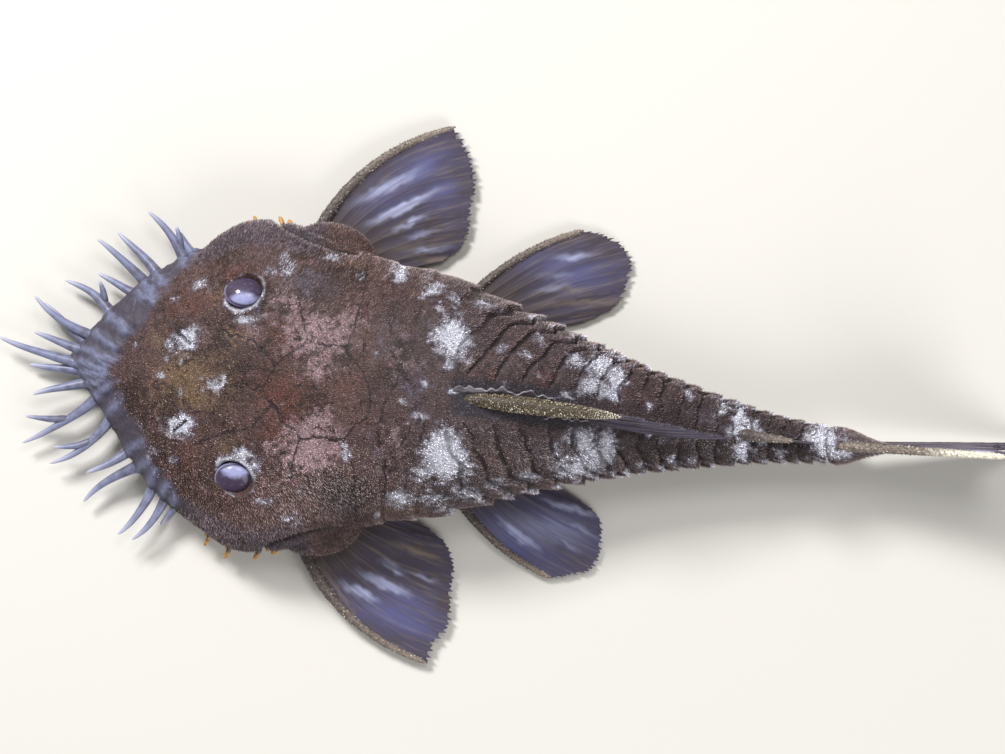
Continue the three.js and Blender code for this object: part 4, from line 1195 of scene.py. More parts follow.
def head_relief(points, turn):
    """Height of the head's forms, with masks for seams, where shade is painted, bare skin and eye sockets.
    """
    x, y = points[..., 0], points[..., 1]
    upper = 1 - between(np.abs(turn), 92, 102)
    front = np.interp(np.abs(y - SNOUT_AXIS), ARMOUR_FRONT[:, 0], ARMOUR_FRONT[:, 1])
    front = front + 0.6 * waves(points, 3.2, 5) + 0.3 * waves(points, 1.1, 6)
    naked = np.maximum(1 - between(x, front - 1.2, front + 1.2), 1 - upper)
    corner = mix(16.6, 18.4, y > 0)  # the bare rim ends here at the left and right
    naked = naked * (1 - between(np.abs(y), corner, corner + 1.6) * upper)

    # Seams between the bone plates, and the gill cleft
    wander = 0.25 * waves(points, 1.6, 8)
    nearest = np.full(x.shape, 1e9)
    for line in SEAMS:
        nearest = np.minimum(nearest, line_distance(x + wander, y + wander, line))
    seam = np.clip(1 - nearest / SEAM_REACH, 0, 1) * upper
    plate = 0.1 * (1 - np.exp(-((nearest / 1.4) ** 2))) * (1 - naked)
    cleft = line_distance(x, np.abs(y), GILL_CLEFT)
    cleft_mask = np.exp(-((cleft / 0.34) ** 2)) * (points[..., 2] > 2.5)
    height = plate - 0.1 * between(seam, 0.3, 0.8) * (1 - naked) - 0.75 * cleft_mask
    height = height + 0.3 * (1 - naked) * upper

    # Folds of the bare rim, and the swollen roots of the tentacles
    radial = np.arctan2(y - SNOUT_AXIS, -28.0 - x)
    folds = 0.1 * np.sin(34 * radial + 3 * waves(points, 6.0, 13)) + 0.09 * waves(points, 1.8, 11)
    ridge = np.zeros(x.shape)
    for index in range(len(TENTACLES)):
        root, way, _ = tentacle_root(index)
        inner = root - way * (4.4 + 1.2 * math.sin(5.0 * index))
        far = line_distance(x + wander, y + wander, [root[:2], inner[:2]])
        ridge = np.maximum(ridge, np.exp(-((far / 0.62) ** 2)))
    height = height + naked * upper * (folds + 0.42 * ridge)

    # Eye sockets with their lids, and the nostrils
    socket = np.zeros(x.shape)
    slit_mask = np.zeros(x.shape)
    crescent = np.zeros(x.shape)
    for side in (1, -1):
        spot, _, down = eye_frame(side)
        apart = points - spot
        a = apart[..., 0] / EYE["long"]
        b = apart @ down / EYE["wide"]
        far = np.hypot(a, b)
        near_eye = (np.sign(y) == side) & (points[..., 2] > 6)
        lid = (far - 0.9) * EYE["wide"]
        ring = 0.26 * np.exp(-(((lid - 0.25) / 0.3) ** 2)) + 0.25 * np.exp(-((far / 1.9) ** 4))
        sunk = 1 - between(lid, -0.4, 0.1)
        height = height + np.where(near_eye, ring - 1.1 * sunk, 0)
        socket = np.maximum(socket, np.where(near_eye, 1 - between(lid, 0.15, 0.45), 0))
        inner = between(-b / np.maximum(far, 0.1), -0.1, 0.6)
        edge = np.exp(-(((lid - 0.15) / mix(0.18, 0.45, inner)) ** 2)) * mix(0.45, 1.0, inner)
        crescent = np.maximum(crescent, np.where(near_eye, edge, 0))
        far = np.hypot(x - NOSTRIL[0], y - side * NOSTRIL[1])
        slit = line_distance(x, y * side, NOSTRIL_SLIT)
        height = height + 0.4 * np.exp(-((far / 1.8) ** 2)) - 0.9 * np.exp(-((slit / 0.26) ** 2))
        # The nostril slits, where shade is painted
        dark = np.clip(1 - slit / 0.7, 0, 1) * (np.sign(y) == side)
        slit_mask = np.maximum(slit_mask, dark)
    groove = np.maximum(np.maximum(seam, slit_mask), cleft_mask)
    return height, groove, naked, socket, ridge * naked * upper, crescent


def tentacle_root(index):
    """Root of a tentacle on the rim of the snout, its way out, and the way to its left."""
    s, aside, _, heading, _, _ = TENTACLES[index]
    way = np.array([math.cos(math.radians(heading)), math.sin(math.radians(heading)), 0])
    root = np.array([s - ORIGIN_S, aside, float(edge_at(s)) + 0.2])
    return root, way, np.array([-way[1], way[0], 0])


def shoulder_bulge(points):
    """Pushes the flank out to the rounded shoulder plates behind the gill openings."""
    centre = np.array([SHOULDER["s"] - ORIGIN_S, 0, SHOULDER["z"]])
    rx, ry, rz = SHOULDER["radii"]
    apart = points - centre
    inside = 1 - (apart[..., 0] / rx) ** 2 - (apart[..., 2] / rz) ** 2
    reach = SHOULDER["out"] + ry * np.sqrt(np.clip(inside, 0, 1))
    out = np.abs(points[..., 1])
    wanted = np.where((inside > 0) & (out > SHOULDER["out"] - 2), np.maximum(reach, out), out)
    points[..., 1] = np.sign(points[..., 1]) * mix(out, wanted, 0.95)
    return points


def skin_shape(columns, head_spacing):
    """The whole skin as rings of points, with the masks that its materials and prickles read."""
    turn = skin_turns(columns)
    p, phase, length = skin_rings(head_spacing)
    back, height, groove, rim = plate_relief(p, phase, length, turn)
    s = p[:, None] + back
    points, out = skin_at(s, turn[None, :], -SKIN_DEPTH)
    turns = np.broadcast_to(turn[None, :], s.shape)
    around = np.abs(turns)
    on_head = 1 - between(p, HEAD_ENDS - 3, HEAD_ENDS + 3)[:, None]
    head_height, head_groove_and_shade, naked, socket, ridge, crescent = head_relief(points, turns)
    points = points + out * (height + head_height * on_head)[..., None]
    points = shoulder_bulge(points)
    points[..., 2] = np.maximum(points[..., 2], 0)

    # Areas of the skin, by turn round the body, place along it and distance from its midline
    soft_from = mix(98, 150, between(p[:, None], 60, 80))  # the belly's soft skin begins at this turn
    belly = between(around, soft_from, soft_from + 14)
    beyond_head = between(p, HEAD_ENDS, HEAD_ENDS + 2)[:, None]
    naked = naked * (1 - beyond_head)
    # The head's seams, slits and cleft join the plates' gaps in one mask of painted shade
    groove = np.maximum(groove, head_groove_and_shade * (1 - between(p, 50, 54))[:, None])
    dark = between(groove, 0.45, 0.75)
    aside = np.abs(points[..., 1] - midline_at(s))
    band = hump(p, 50, 53, 66, 76)[:, None] * (1 - between(aside, 1.9, 3.1)) * (around < 60)
    above = 1 - between(around, 96, 106)
    flank = hump(around, 52, 72, 108, 120) * beyond_head
    rimmed = 0.72 * flank * rim * (0.8 + 0.7 * waves(points, 3.0, 31))
    cheek = hump(around, 48, 66, 104, 112) * (1 - naked) * hump(s, 14, 17, 31, 36)
    temple = hump(aside, 9, 13, 17, 20) * between(s, 22, 30) * on_head
    teeth = rim * between(phase, 0.7, 0.9)[:, None] * flank

    # Prickles lie backwards, and outwards on the temples, the cheeks and the flanks
    sideways = np.sign(points[..., 1]) * (0.9 * between(aside, 6, 18) * on_head + 0.7 * flank)
    lay = np.stack([np.ones_like(s), sideways, np.zeros_like(s)], -1)
    lay = lay * (1 + 0.5 * temple + 0.6 * rim)[..., None]

    frosted = np.maximum(marking(points, FROST, 21, 0.4) * above, rimmed)
    masks = {
        "frost": np.maximum(frosted, crescent),
        "rose": marking(points, ROSE, 23) * above,
        "ochre": marking(points, OCHRE, 25) * above,
        "russet": marking(points, RUSSET, 27) * above,
        "violet": np.maximum(marking(points, VIOLET, 29) * above, 0.9 * cheek),
        "plum": 0.6 * between(s, 38, 54) * above,
        "dusk": np.maximum(marking(points, DUSK, 33) * above, 0.45 * cheek),
        "naked": naked * (1 - belly),
        "fold": 0.75 * ridge,
        "groove": groove,
        "belly": belly,
        "band": band,
        "coat": (1 - naked) * (1 - belly) * (1 - socket) * (1 - 0.97 * dark) * (1 - 0.5 * band),
        "spiny": np.clip(0.6 * cheek * on_head + teeth, 0, 1) * (1 - socket),
        "growth": 1 + 0.65 * rim + 0.7 * temple + 0.5 * cheek - 0.3 * band,
        "hoar": np.clip(0.8 * rim * mix(0.5, 1.0, flank) + 0.25 * flank, 0, 1),
        "lay": lay,
    }

    # Way round the skin from the middle of the back, for the bake map
    steps = np.linalg.norm(np.diff(np.concatenate([points, points[:, :1]], 1), axis=1), axis=2)
    half = len(turn) // 2
    walked = np.zeros(s.shape)
    walked[:, 1 : half + 1] = np.cumsum(steps[:, :half], axis=1)
    walked[:, half + 1 :] = -np.cumsum(steps[:, :half - 1 : -1], axis=1)[:, : half - 1][:, ::-1]
    return points, masks, s, walked


def bake_place(s, walked):
    """The skin's unwrap: place along the body and way round it, both at one scale."""
    return np.stack([(s + 4) / BAKE_SPAN, 0.5 + walked / BAKE_SPAN, np.zeros_like(s)], -1)


def rounded_front(points):
    """Rings that close the snout in a rounded nose in front of the first ring."""
    first = points[0]
    centre = first.mean(0)
    rings = []
    for angle in np.radians([78, 62, 46, 30, 15]):
        ring = centre + (first - centre) * math.cos(angle)
        ring[:, 0] = first[:, 0] - 0.9 * math.sin(angle)
        rings.append(ring)
    return np.array(rings)


def tapered_rear(points):
    """Rings that carry the tail's root on as a flat tapering cone over the roots of the fin rays."""
    last = points[-1]
    centre = last.mean(0)
    rings = []
    for t in np.linspace(0.1, 1, 14):
        closing = math.sqrt(1 - max((t - 0.8) / 0.21, 0) ** 2)
        narrow = mix(1, 0.3, ease(1.1 * t)) * closing
        ring = centre + (last - centre) * (1, narrow, mix(1, 0.92, t) * closing)
        high = (last[:, 2] - centre[2]) / np.abs(last[:, 2] - centre[2]).max()
        ring[:, 0] = last[:, 0] + TAIL_CONE * t * (1 - 0.5 * high**2)
        rings.append(ring)
    return np.array(rings)


def fan_sheet(root, tip, bow, across, rays, web, thick, rows, per_ray=12, ruffle=0.1, ragged=0.03,
              flesh=0.5, folded=0.0, seed=3):
    """A fin between root(u) and tip(u), bowed by bow(u), where u goes from its first ray to its last: a
    membrane as thick as web, with forked and jointed rays that stand thick out of it along across. Its
    root is fleshy, its rays fork at two places, and its outer edge is ragged. Returns the closed sheet
    and its masks."""
    columns = per_ray * (rays - 1) + 1
    u = np.linspace(0, 1, columns)[None, :]
    v = np.linspace(0, 1, rows)[:, None]
    number = u * (rays - 1)
    apart = np.abs(number - np.round(number))
    for starts, spread in RAY_FORKS:
        apart = np.abs(apart - spread * between(v, starts, 1))
    start = np.stack([root(k) for k in u[0]])
    end = np.stack([tip(k) for k in u[0]])
    bows = np.stack([bow(k) for k in u[0]])
    chord = start[None] + (end - start)[None] * v[..., None]
    spacing = np.linalg.norm(np.gradient(chord, axis=1), axis=2) * per_ray
    ray = np.exp(-((apart * spacing / RAY_HALF_WIDTH) ** 2))
    length = np.linalg.norm(end - start, axis=1)[None, :]
    draw = np.random.default_rng(seed)
    wander = np.interp(number, np.arange(rays), draw.uniform(-1, 1, rays))
    torn = 0.5 * np.interp(number, np.linspace(0, rays - 1, 5 * rays), draw.uniform(0, 1, 5 * rays))
    short = ragged * ((0.5 + torn) * (1 - ray[-1][None, :]) + 0.6 * wander)
    reach = v * (1 - short * v**3)
    points = start[None] + (end - start)[None] * reach[..., None]
    points = points + bows[None] * (4 * reach * (1 - reach))[..., None]
    across = np.asarray(across, float)
    pleat = ruffle * np.cos(2 * np.pi * number) * ease(v * 1.4) + ruffle * wander * v
    pleat = pleat + folded * wander * np.sin(np.pi * np.clip(v, 0, 0.93) ** 0.75)
    points = points + across * pleat[..., None]
    joints = 0.8 + 0.2 * np.cos(2 * np.pi * v * length / RAY_JOINT) * between(v, 0.2, 0.4)
    half = web / 2 * mix(1.0, 0.5, v) + thick * ray * joints * (1 - 0.65 * v)
    half = half + flesh * np.exp(-v * length / 1.6)
    upper = points + across * half[..., None]
    lower = points - across * half[..., None]
    rings = np.concatenate([upper, lower[:, ::-1]], 1)
    sheet, faces = closed_rings(rings, "slab")

    def both(values):
        values = np.broadcast_to(values, (rows, columns))
        return np.concatenate([values, values[:, ::-1]], 1).ravel()

    masks = {"ray_number": both(number + 7 * seed), "along": both(v), "ray": both(ray), "across": both(u)}
    return sheet, faces, masks


def upright_fin(name, material, nodes, root, tip, bow, **shape):
    """A fin along the body's middle, fixed to the body with the solids it stands for."""
    sheet, faces, masks = fan_sheet(root, tip, bow, (0, 1, 0), **shape)
    settle(piece(name, sheet, faces, material_for(material), masks), "fin", *nodes)


def spine_piece(name, path, radii, material, sides=16, flat=1.0, knobs=0.05):
    """A stout tapering spine, with the attributes that prickles on it need."""
    rings = rod_rings(path, radii, sides, flat)
    centres = path[:, None]
    rings = centres + (rings - centres) * (1 + knobs * waves(rings, 0.9, 4))[..., None]
    points, faces = closed_rings(rings)
    along = np.append(np.repeat(np.linspace(0, 1, len(path)), sides), [0, 1])
    around = np.append(np.tile(np.arange(sides) / sides, len(path)), [0.4, 0.4])
    way = (path[-1] - path[0]) / np.linalg.norm(path[-1] - path[0])
    masks = {
        "lay": np.tile(way, (len(points), 1)),
        "along": along,
        "coat": between(along, 0, 0.06),
        "growth": np.ones(len(points)),
        "root_uv": np.stack([0.05 + 0.2 * along, 0.05 + 0.05 * around, np.zeros(len(points))], 1),
    }
    return piece(name, points, faces, material_for(material), masks)


def grained(spine, name, seed, lean=0.8, spacing=0.28, length=0.22, width=0.9, material="bone_grain"):
    """Strews enamel grains over a fin's spine, and fixes both to the body."""
    coat = strew(
        name, spine, seed, lean=lean, spacing=spacing * MM, length=length * MM, width=width,
        material=material,
    )
    settle(spine, "fin")
    settle(coat, "fin")


def tubes(name, lines, sides, material):
    """Tapering tubes along lines of points, each with its radii and an attribute along it."""
    mesh = bpy.data.meshes.new(name)
    points = np.vstack([path for path, _ in lines])
    edges = []
    start = 0
    for path, _ in lines:
        edges += [(start + k, start + k + 1) for k in range(len(path) - 1)]
        start += len(path)
    mesh.from_pydata(points * MM, edges, [])
    along = np.concatenate([np.linspace(0, 1, len(path)) for path, _ in lines])
    give_attributes(mesh, {"radius_mm": np.concatenate([radii for _, radii in lines]), "along": along})
    carrier = bring_in(name + "_lines", mesh)
    made = grow(name, carrier, "tube", {"Sides": sides, "Material": material_for(material)})
    bpy.data.objects.remove(carrier)
    return made


def rounded(radii, share=0.12):
    """Rounds the far end of a list of radii."""
    t = np.linspace(0, 1, len(radii))
    into = np.clip((t - 1 + share) / share, 0, 0.985)
    return radii * np.sqrt(1 - into**2)


# Settings


def length_setting(label, about, default, least=0.1):
    """A length, given here in millimetres."""
    return bpy.props.FloatProperty(
        name=label, description=about, default=default * MM, min=least * MM, max=2 * MM, precision=5,
        subtype="DISTANCE", unit="LENGTH",
    )


def colour_setting(label, about, text):
    return bpy.props.FloatVectorProperty(
        name=label, description=about, default=hex_linear(text), size=4, min=0, max=1, subtype="COLOR"
    )


class BristlenoseSizes(bpy.types.PropertyGroup):
    # Real prickles are about 0.1 mm long and apart. These are drawn coarser, so that they show.
    prickle_spacing: length_setting("Prickle spacing", "Least distance between two prickles", 0.18)
    prickle_length: length_setting("Prickle length", "Length of a common prickle", 0.21)
    plate_raise: length_setting("Plate height", "How far a plate's rear edge stands up", 0.4, 0.0)
    tentacle_radius: length_setting("Tentacle radius", "Radius of a tentacle at its middle", 0.56)
    skin_spacing: length_setting("Skin ring spacing", "Distance between the skin's rings on the head", 0.24)
    skin_columns: bpy.props.IntProperty(
        name="Skin columns", description="Points of the skin in each ring round the body",
        default=244, min=60, max=248,
    )


class BristlenoseColours(bpy.types.PropertyGroup):
    umber: colour_setting("Dark brown", "Darker clouds of the armour", "48332f")
    brown: colour_setting("Brown", "Common colour of the armour", "6f5450")
    chestnut: colour_setting("Chestnut", "Reddish mottling of the armour", "6e4841")
    olive: colour_setting("Olive", "Olive flecks of the armour", "655742")
    russet: colour_setting("Russet", "Red-brown areas of the head", "784639")
    violet: colour_setting("Violet", "Violet-grey areas of the cheeks and nape", "726a7e")
    rose: colour_setting("Rose", "Pink areas of the skull roof and lips", "c0a0a6")
    ochre: colour_setting("Ochre", "Yellowish areas of the snout and cheeks", "957859")
    plum: colour_setting("Plum", "Greyer brown of the body and tail", "5a4c52")
    frill: colour_setting("Frill", "Frayed skin beside the back fin's spine", "958e98")
    dusk: colour_setting("Dusk", "Darkest areas of the temples and tail", "2f2226")
    frost: colour_setting("White", "Crisp white patches and tips", "eeeefc")
    slate: colour_setting("Slate", "Smooth band beside the back fin", "3f3943")
    # Painted shade in the grooves, over their darker skin
    groove: colour_setting("Groove", "Seams and grooves between plates", "302125")
    naked: colour_setting("Bare skin", "Naked skin of the snout's rim", "443f4b")
    belly: colour_setting("Belly", "Soft skin of the underside", "a79c98")
    tentacle: colour_setting("Tentacle", "Pale side of the tentacles", "767a96")
    enamel: colour_setting("Enamel", "Tips of the prickles", "d2b9b2")
    fin_root: colour_setting("Fin root", "Brown root and edge of the fins", "443b3b")
    fin: colour_setting("Fin", "Violet middle of the fins", "433e4f")
    fin_blue: colour_setting("Fin blue", "Blue-violet areas of the fins", "565884")
    fin_streak: colour_setting("Fin streak", "Lavender streaks of the fins", "a2a6c6")
    ray: colour_setting("Fin ray", "Rays of the fins", "7a6d64")
    spine_root: colour_setting("Spine root", "Gaps between the grains of the back fin's spine", "3c342a")
    spine_gold: colour_setting("Spine gold", "Grains of the back fin's spine", "9c8a6c")
    # Pale tips of the spines, and the colour of the grains' painted glints
    spine_tip_and_glint: colour_setting("Spine tip", "Brightest grains and tips of the spines", "e6dfcc")
    amber: colour_setting("Amber", "Tips of the cheek's hooks", "b98a48")
    iris: colour_setting("Iris", "Pale flap and ring of the eye", "9395ba")
    pupil: colour_setting("Pupil", "Dark part of the eye", "3f3348")
    paper: colour_setting("Paper", "Studio floor", "cfccc6")


# Operators


class BuildSkin(bpy.types.Operator):
    """The whole skin of head, body and tail in one sheet, with plates, seams, sockets and folds."""

    bl_idname = "bristlenose.skin"
    bl_label = "Skin"

    def execute(self, context):
        sizes = context.scene.bristlenose_sizes
        points, masks, s, walked = skin_shape(sizes.skin_columns, sizes.skin_spacing / MM)
        nose = rounded_front(points)
        end = tapered_rear(points)
        rings = np.concatenate([nose, points, end])
        shell, faces = closed_rings(rings)

        def spread(values):
            """Spreads values over the rings of the two ends."""
            return np.concatenate(
                [np.repeat(values[:1], len(nose), 0), values, np.repeat(values[-1:], len(end), 0)]
            )

        def listed(values):
            """Values as one list, with the two closing points."""
            values = values.reshape(-1, *values.shape[2:])
            return np.concatenate([values, values[:1], values[-1:]])

        places = rings[..., 0] - spread(points)[..., 0] + spread(s)
        beyond = between(places, BODY_LENGTH + 1, BODY_LENGTH + 3.5)
        attributes = {key: listed(spread(values)) for key, values in masks.items()}
        for key in ("frost", "groove"):
            attributes[key] = listed(spread(masks[key]) * (1 - beyond))
        for key, strength in (("belly", 0.12), ("violet", 0.8), ("hoar", 0.3)):
            attributes[key] = listed(np.maximum(spread(masks[key]), strength * beyond))
        attributes["root_uv"] = listed(bake_place(places, spread(walked)))
        skin = piece("fish_skin", shell, faces, material_for("skin"), attributes)
        add_bake_map(skin.data, attributes["root_uv"][:, :2])
        settle(skin, "armour", "snout", "head", "cheek_right", "cheek_left", "trunk", "tail")
        return {"FINISHED"}


class BuildPrickles(bpy.types.Operator):
    """The coat of tiny tooth-like prickles on the armour, in one piece for each part of the body,
    and the longer spines on the cheeks and on the rear edges of the flank's plates."""

    bl_idname = "bristlenose.prickles"
    bl_label = "Prickles"

    def execute(self, context):
        sizes = context.scene.bristlenose_sizes
        skin = bpy.data.objects["fish_skin"]
        mesh = skin.data
        coat = mesh.attributes["coat"].data
        whole = np.zeros(len(coat), np.float32)
        coat.foreach_get("value", whole)
        x = points_of(mesh)[:, 0] / MM
        # Where each part starts and ends along x, its prickles' lean and their share of the length
        parts = {
            "head_prickles": (-60, -20, 0.8, 1.0),
            "nape_prickles": (-20, -3, 0.72, 0.94),
            "trunk_prickles": (-3, 20, 0.65, 0.88),
            "tail_prickles": (20, 70, 0.65, 0.88),
        }
        for seed, (name, (low, high, lean, share)) in enumerate(parts.items()):
            here = whole * ((x >= low) & (x < high))
            mesh.attributes["coat"].data.foreach_set("value", here.astype(np.float32))
            mesh.update()
            settle(strew(name, skin, 11 + seed, lean=lean, length=share * sizes.prickle_length), "armour")
        mesh.attributes["coat"].data.foreach_set("value", whole)
        longer = {"lean": 1.2, "spacing": 0.42 * MM, "length": 0.26 * MM, "width": 0.5}
        settle(strew("edge_spines", skin, 19, "spiny", **longer), "armour")
        return {"FINISHED"}


class BuildTentacles(bpy.types.Operator):
    """The soft tentacles on the rim of the snout, some of them branched. Their roots lie as swollen
    folds on the naked skin."""

    bl_idname = "bristlenose.tentacles"
    bl_label = "Tentacles"

    def execute(self, context):
        radius = context.scene.bristlenose_sizes.tentacle_radius / MM
        lines = []
        for index, (s, _, length, heading, bow, branch) in enumerate(TENTACLES):
            root, way, sideways = tentacle_root(index)
            start = root - way * TENTACLE_ROOTED
            end = root + way * length * 1.04
            end[2] += 1.1 * math.sin(2.4 * index) - 0.4
            free = bowed(start, end, sideways * bow, 34)
            t = np.linspace(0, 1, 34)
            sway = 0.14 * np.sin(6 * t + 1.7 * index) * t
            free = free + (sideways + (0, 0, 0.4)) * sway[:, None]
            inner = start - way * 1.2
            level = float(skin_above(max(inner[0] + ORIGIN_S, 0.4), inner[1] - midline_at(s))[2])
            inner[2] = max(level - 0.45, free[0, 2])
            lead = bowed(inner, free[0], (0, 0, 0.1), 9)[:-1]
            path = np.vstack([lead, free])
            far = np.concatenate([np.linspace(-0.2, 0, 9)[:-1], t])
            shares = np.interp(far, [-0.2, 0.06, 0.2, 0.5, 0.8, 1.0], [0.6, 2.1, 1.4, 1.0, 0.7, 0.3])
            lines.append((path, rounded(radius * shares, 0.05)))
            if branch:
                at, turn = branch
                fork = free[int(at * 33)]
                turned = math.radians(heading + turn)
                to = fork + np.array([math.cos(turned), math.sin(turned), 0.1]) * length * 0.5
                twig = bowed(fork, to, sideways * bow * 0.3, 18)
                shares = np.interp(np.linspace(0, 1, 18), [0, 0.15, 0.5, 1], [0.8, 0.95, 0.8, 0.3])
                lines.append((twig, rounded(radius * shares, 0.08)))
        made = tubes("snout_tentacles", lines, 14, "tentacle")
        settle(made, "bare_skin")
        return {"FINISHED"}


class BuildCheekHooks(bpy.types.Operator):
    """The hooked spines under the edge of each cheek, amber at their tips."""

    bl_idname = "bristlenose.cheek_hooks"
    bl_label = "Cheek hooks"

    def execute(self, context):
        lines = []
        steps = np.linspace(0, 1, 20)
        for side, hooks in CHEEK_HOOKS.items():
            for index, (root_x, root_out, tip_x, tip_out, radius) in enumerate(hooks):
                root = np.array([root_x, side * root_out, 3.6 + 0.5 * (index % 2)])
                end = np.array([tip_x, side * tip_out, 2.6 + 0.5 * (index % 2)])
                path = bowed(root, end, (0.55, 0, 0.35), 20)
                lines.append((path, rounded(radius * mix(1.25, 0.8, steps))))
                sheath = mix(root, end, 0.6) + (0.2, 0, 0.1)
                lines.append((bowed(root, sheath, (0.3, 0, 0.2), 12), np.linspace(0.9, 0.45, 12) * 0.8))
        made = tubes("cheek_hooks", lines, 10, "hook")
        settle(made, "armour")
        return {"FINISHED"}


class BuildEyes(bpy.types.Operator):
    """The two eyes, low domes with a flap of iris over the pupil."""

    bl_idname = "bristlenose.eyes"
    bl_label = "Eyes"

    def execute(self, context):
        gaze = math.radians(24)  # the iris looks up more than the eyeball's own tilt
        for label, side in SIDES.items():
            spot, out, down = eye_frame(side)
            centre = spot + out * (EYE["proud"] - EYE["depth"]) + down * 0.8
            polar = np.radians(np.linspace(4, 176, 40))[:, None]
            angle = np.linspace(0, 2 * np.pi, 72, endpoint=False)[None, :]
            a = np.sin(polar) * np.cos(angle)
            b = np.sin(polar) * np.sin(angle)
            c = np.cos(polar) * np.ones_like(angle)
            ways = np.array([1.0, 0, 0]), down, out
            reach = a * EYE["long"] * 1.06, b * EYE["wide"] * 1.06, c * EYE["depth"]
            rings = centre + sum(r[..., None] * w for r, w in zip(reach, ways))
            points, faces = closed_rings(rings)
            b = b * math.cos(gaze) + c * math.sin(gaze)
            a, b = (np.append(k.ravel(), [0, 0]) for k in (a, b))
            far = np.hypot(a, b)
            flap = between(-b - 0.8 * a**2, -0.15, 0.35) * (1 - between(far, 0.74, 0.86))
            masks = {"flap": flap, "ring": 0.7 * between(far, 0.87, 0.92)}
            made = piece("eye_ball_" + label, points, faces, material_for("eye"), masks)
            settle(made, "eye", "eye_" + label)
        return {"FINISHED"}


class BuildNostrilFlaps(bpy.types.Operator):
    """A small standing flap of skin beside the slit of each nostril."""

    bl_idname = "bristlenose.nostril_flaps"
    bl_label = "Nostril flaps"

    def execute(self, context):
        for label, side in SIDES.items():
            start, end = (skin_above(x + ORIGIN_S, side * y) for x, y in NOSTRIL_SLIT)
            up = np.array([0.15, side * 0.35, 0.92])
            shift = np.array([0.28, side * 0.3, 0.1])

            def root(u):
                return mix(start, end, u) + shift * 0.6 - up * 0.3

            def tip(u):
                return mix(start, end, mix(0.12, 0.88, u)) + shift * 0.4 + up * (0.25 + 1.5 * u * (1 - u))

            sheet, faces, masks = fan_sheet(
                root, tip, lambda u: shift * 0.5, shift / np.linalg.norm(shift), rays=4, web=0.16,
                thick=0.03, rows=14, per_ray=6, ruffle=0.02, flesh=0.1,
            )
            made = piece("nostril_flap_" + label, sheet, faces, material_for("tentacle"), masks)
            settle(made, "bare_skin")
        return {"FINISHED"}


class BuildMouth(bpy.types.Operator):
    """The round sucker lip under the snout, with its fleshy bumps, comb teeth and two barbels."""

    bl_idname = "bristlenose.mouth"
    bl_label = "Mouth"

    def execute(self, context):
        # The lip's section, from the roof of the mouth round the rim to the gullet: reach and level
        profile = np.array(
            [(0.0, 1.1), (0.9, 1.15), (1.0, 0.85), (1.02, 0.55), (0.98, 0.3), (0.9, 0.22), (0.7, 0.2),
             (0.5, 0.22), (0.42, 0.35), (0.38, 0.6), (0.2, 0.72), (0.0, 0.75)]
        )
        share = np.linspace(0, 1, len(profile))
        fine = np.linspace(0, 1, 46)
        reach = np.interp(fine, share, profile[:, 0])
        level = np.interp(fine, share, profile[:, 1])
        angle = np.linspace(0, 2 * np.pi, 96, endpoint=False)
        edge = 1 + 0.03 * np.sin(17 * angle) + 0.02 * np.sin(31 * angle + 1)
        rim = reach[:, None] * mix(1.0, edge[None, :], between(reach[:, None], 0.6, 1))
        x = MOUTH["s"] - ORIGIN_S + MOUTH["long"] * rim * np.cos(angle)
        y = MOUTH["aside"] + MOUTH["wide"] * rim * np.sin(angle)
        z = np.broadcast_to(level[:, None] * MOUTH["high"], x.shape)
        rings = np.stack([x, y, z], -1)[1:-1]
        points, faces = closed_rings(rings)
        bumpy = (reach[1:-1, None] > 0.5) & (level[1:-1, None] < 0.35) & np.ones(x[1:-1].shape, bool)
        coat = np.append(bumpy.ravel().astype(float), [0, 0])
        centre = np.array([MOUTH["s"] - ORIGIN_S, MOUTH["aside"], 0])
        flat = (points - centre) / BAKE_SPAN + (0.5, 0.5, 0)
        lips = piece(
            "sucker_lip", points, faces, material_for("lip"),
            {
                "coat": coat,
                "growth": np.ones(len(points)),
                "root_uv": flat,
                "lay": np.zeros((len(points), 3)),
            },
        )
        bumps = strew(
            "lip_bumps", lips, 5, lean=0.0, scatter=0.1, spacing=0.42 * MM, length=0.24 * MM, width=1.1,
            material="lip", sides=5, hook=0.02, crowding=1.5876, smooth=True,
        )
        settle(lips, "lip", "mouth")
        settle(bumps, "lip")
        teeth = []
        for row in (-1, 1):
            for half in (-1, 1):
                for k in range(16):
                    place = centre + (row * 0.7, half * (0.4 + 0.16 * k), 0.62)
                    tip = place + (-row * 0.35, 0, -0.42)
                    teeth.append((bowed(place, tip, (row * 0.1, 0, 0), 6), np.linspace(0.06, 0.03, 6)))
        settle(tubes("comb_teeth", teeth, 6, "hook"), "lip")
        barbels = []
        for side in (1, -1):
            corner = MOUTH["aside"] + side * (MOUTH["wide"] - 0.9)
            root = np.array([MOUTH["s"] - ORIGIN_S + 1, corner, 0.55])
            end = root + (3.15, side * 2.52, -0.1)
            radii = rounded(mix(0.46, 0.16, np.linspace(0, 1, 24)))
            barbels.append((bowed(root, end, (0, side * 0.5, 0), 24), radii))
        settle(tubes("mouth_barbels", barbels, 12, "tentacle"), "lip")
        return {"FINISHED"}


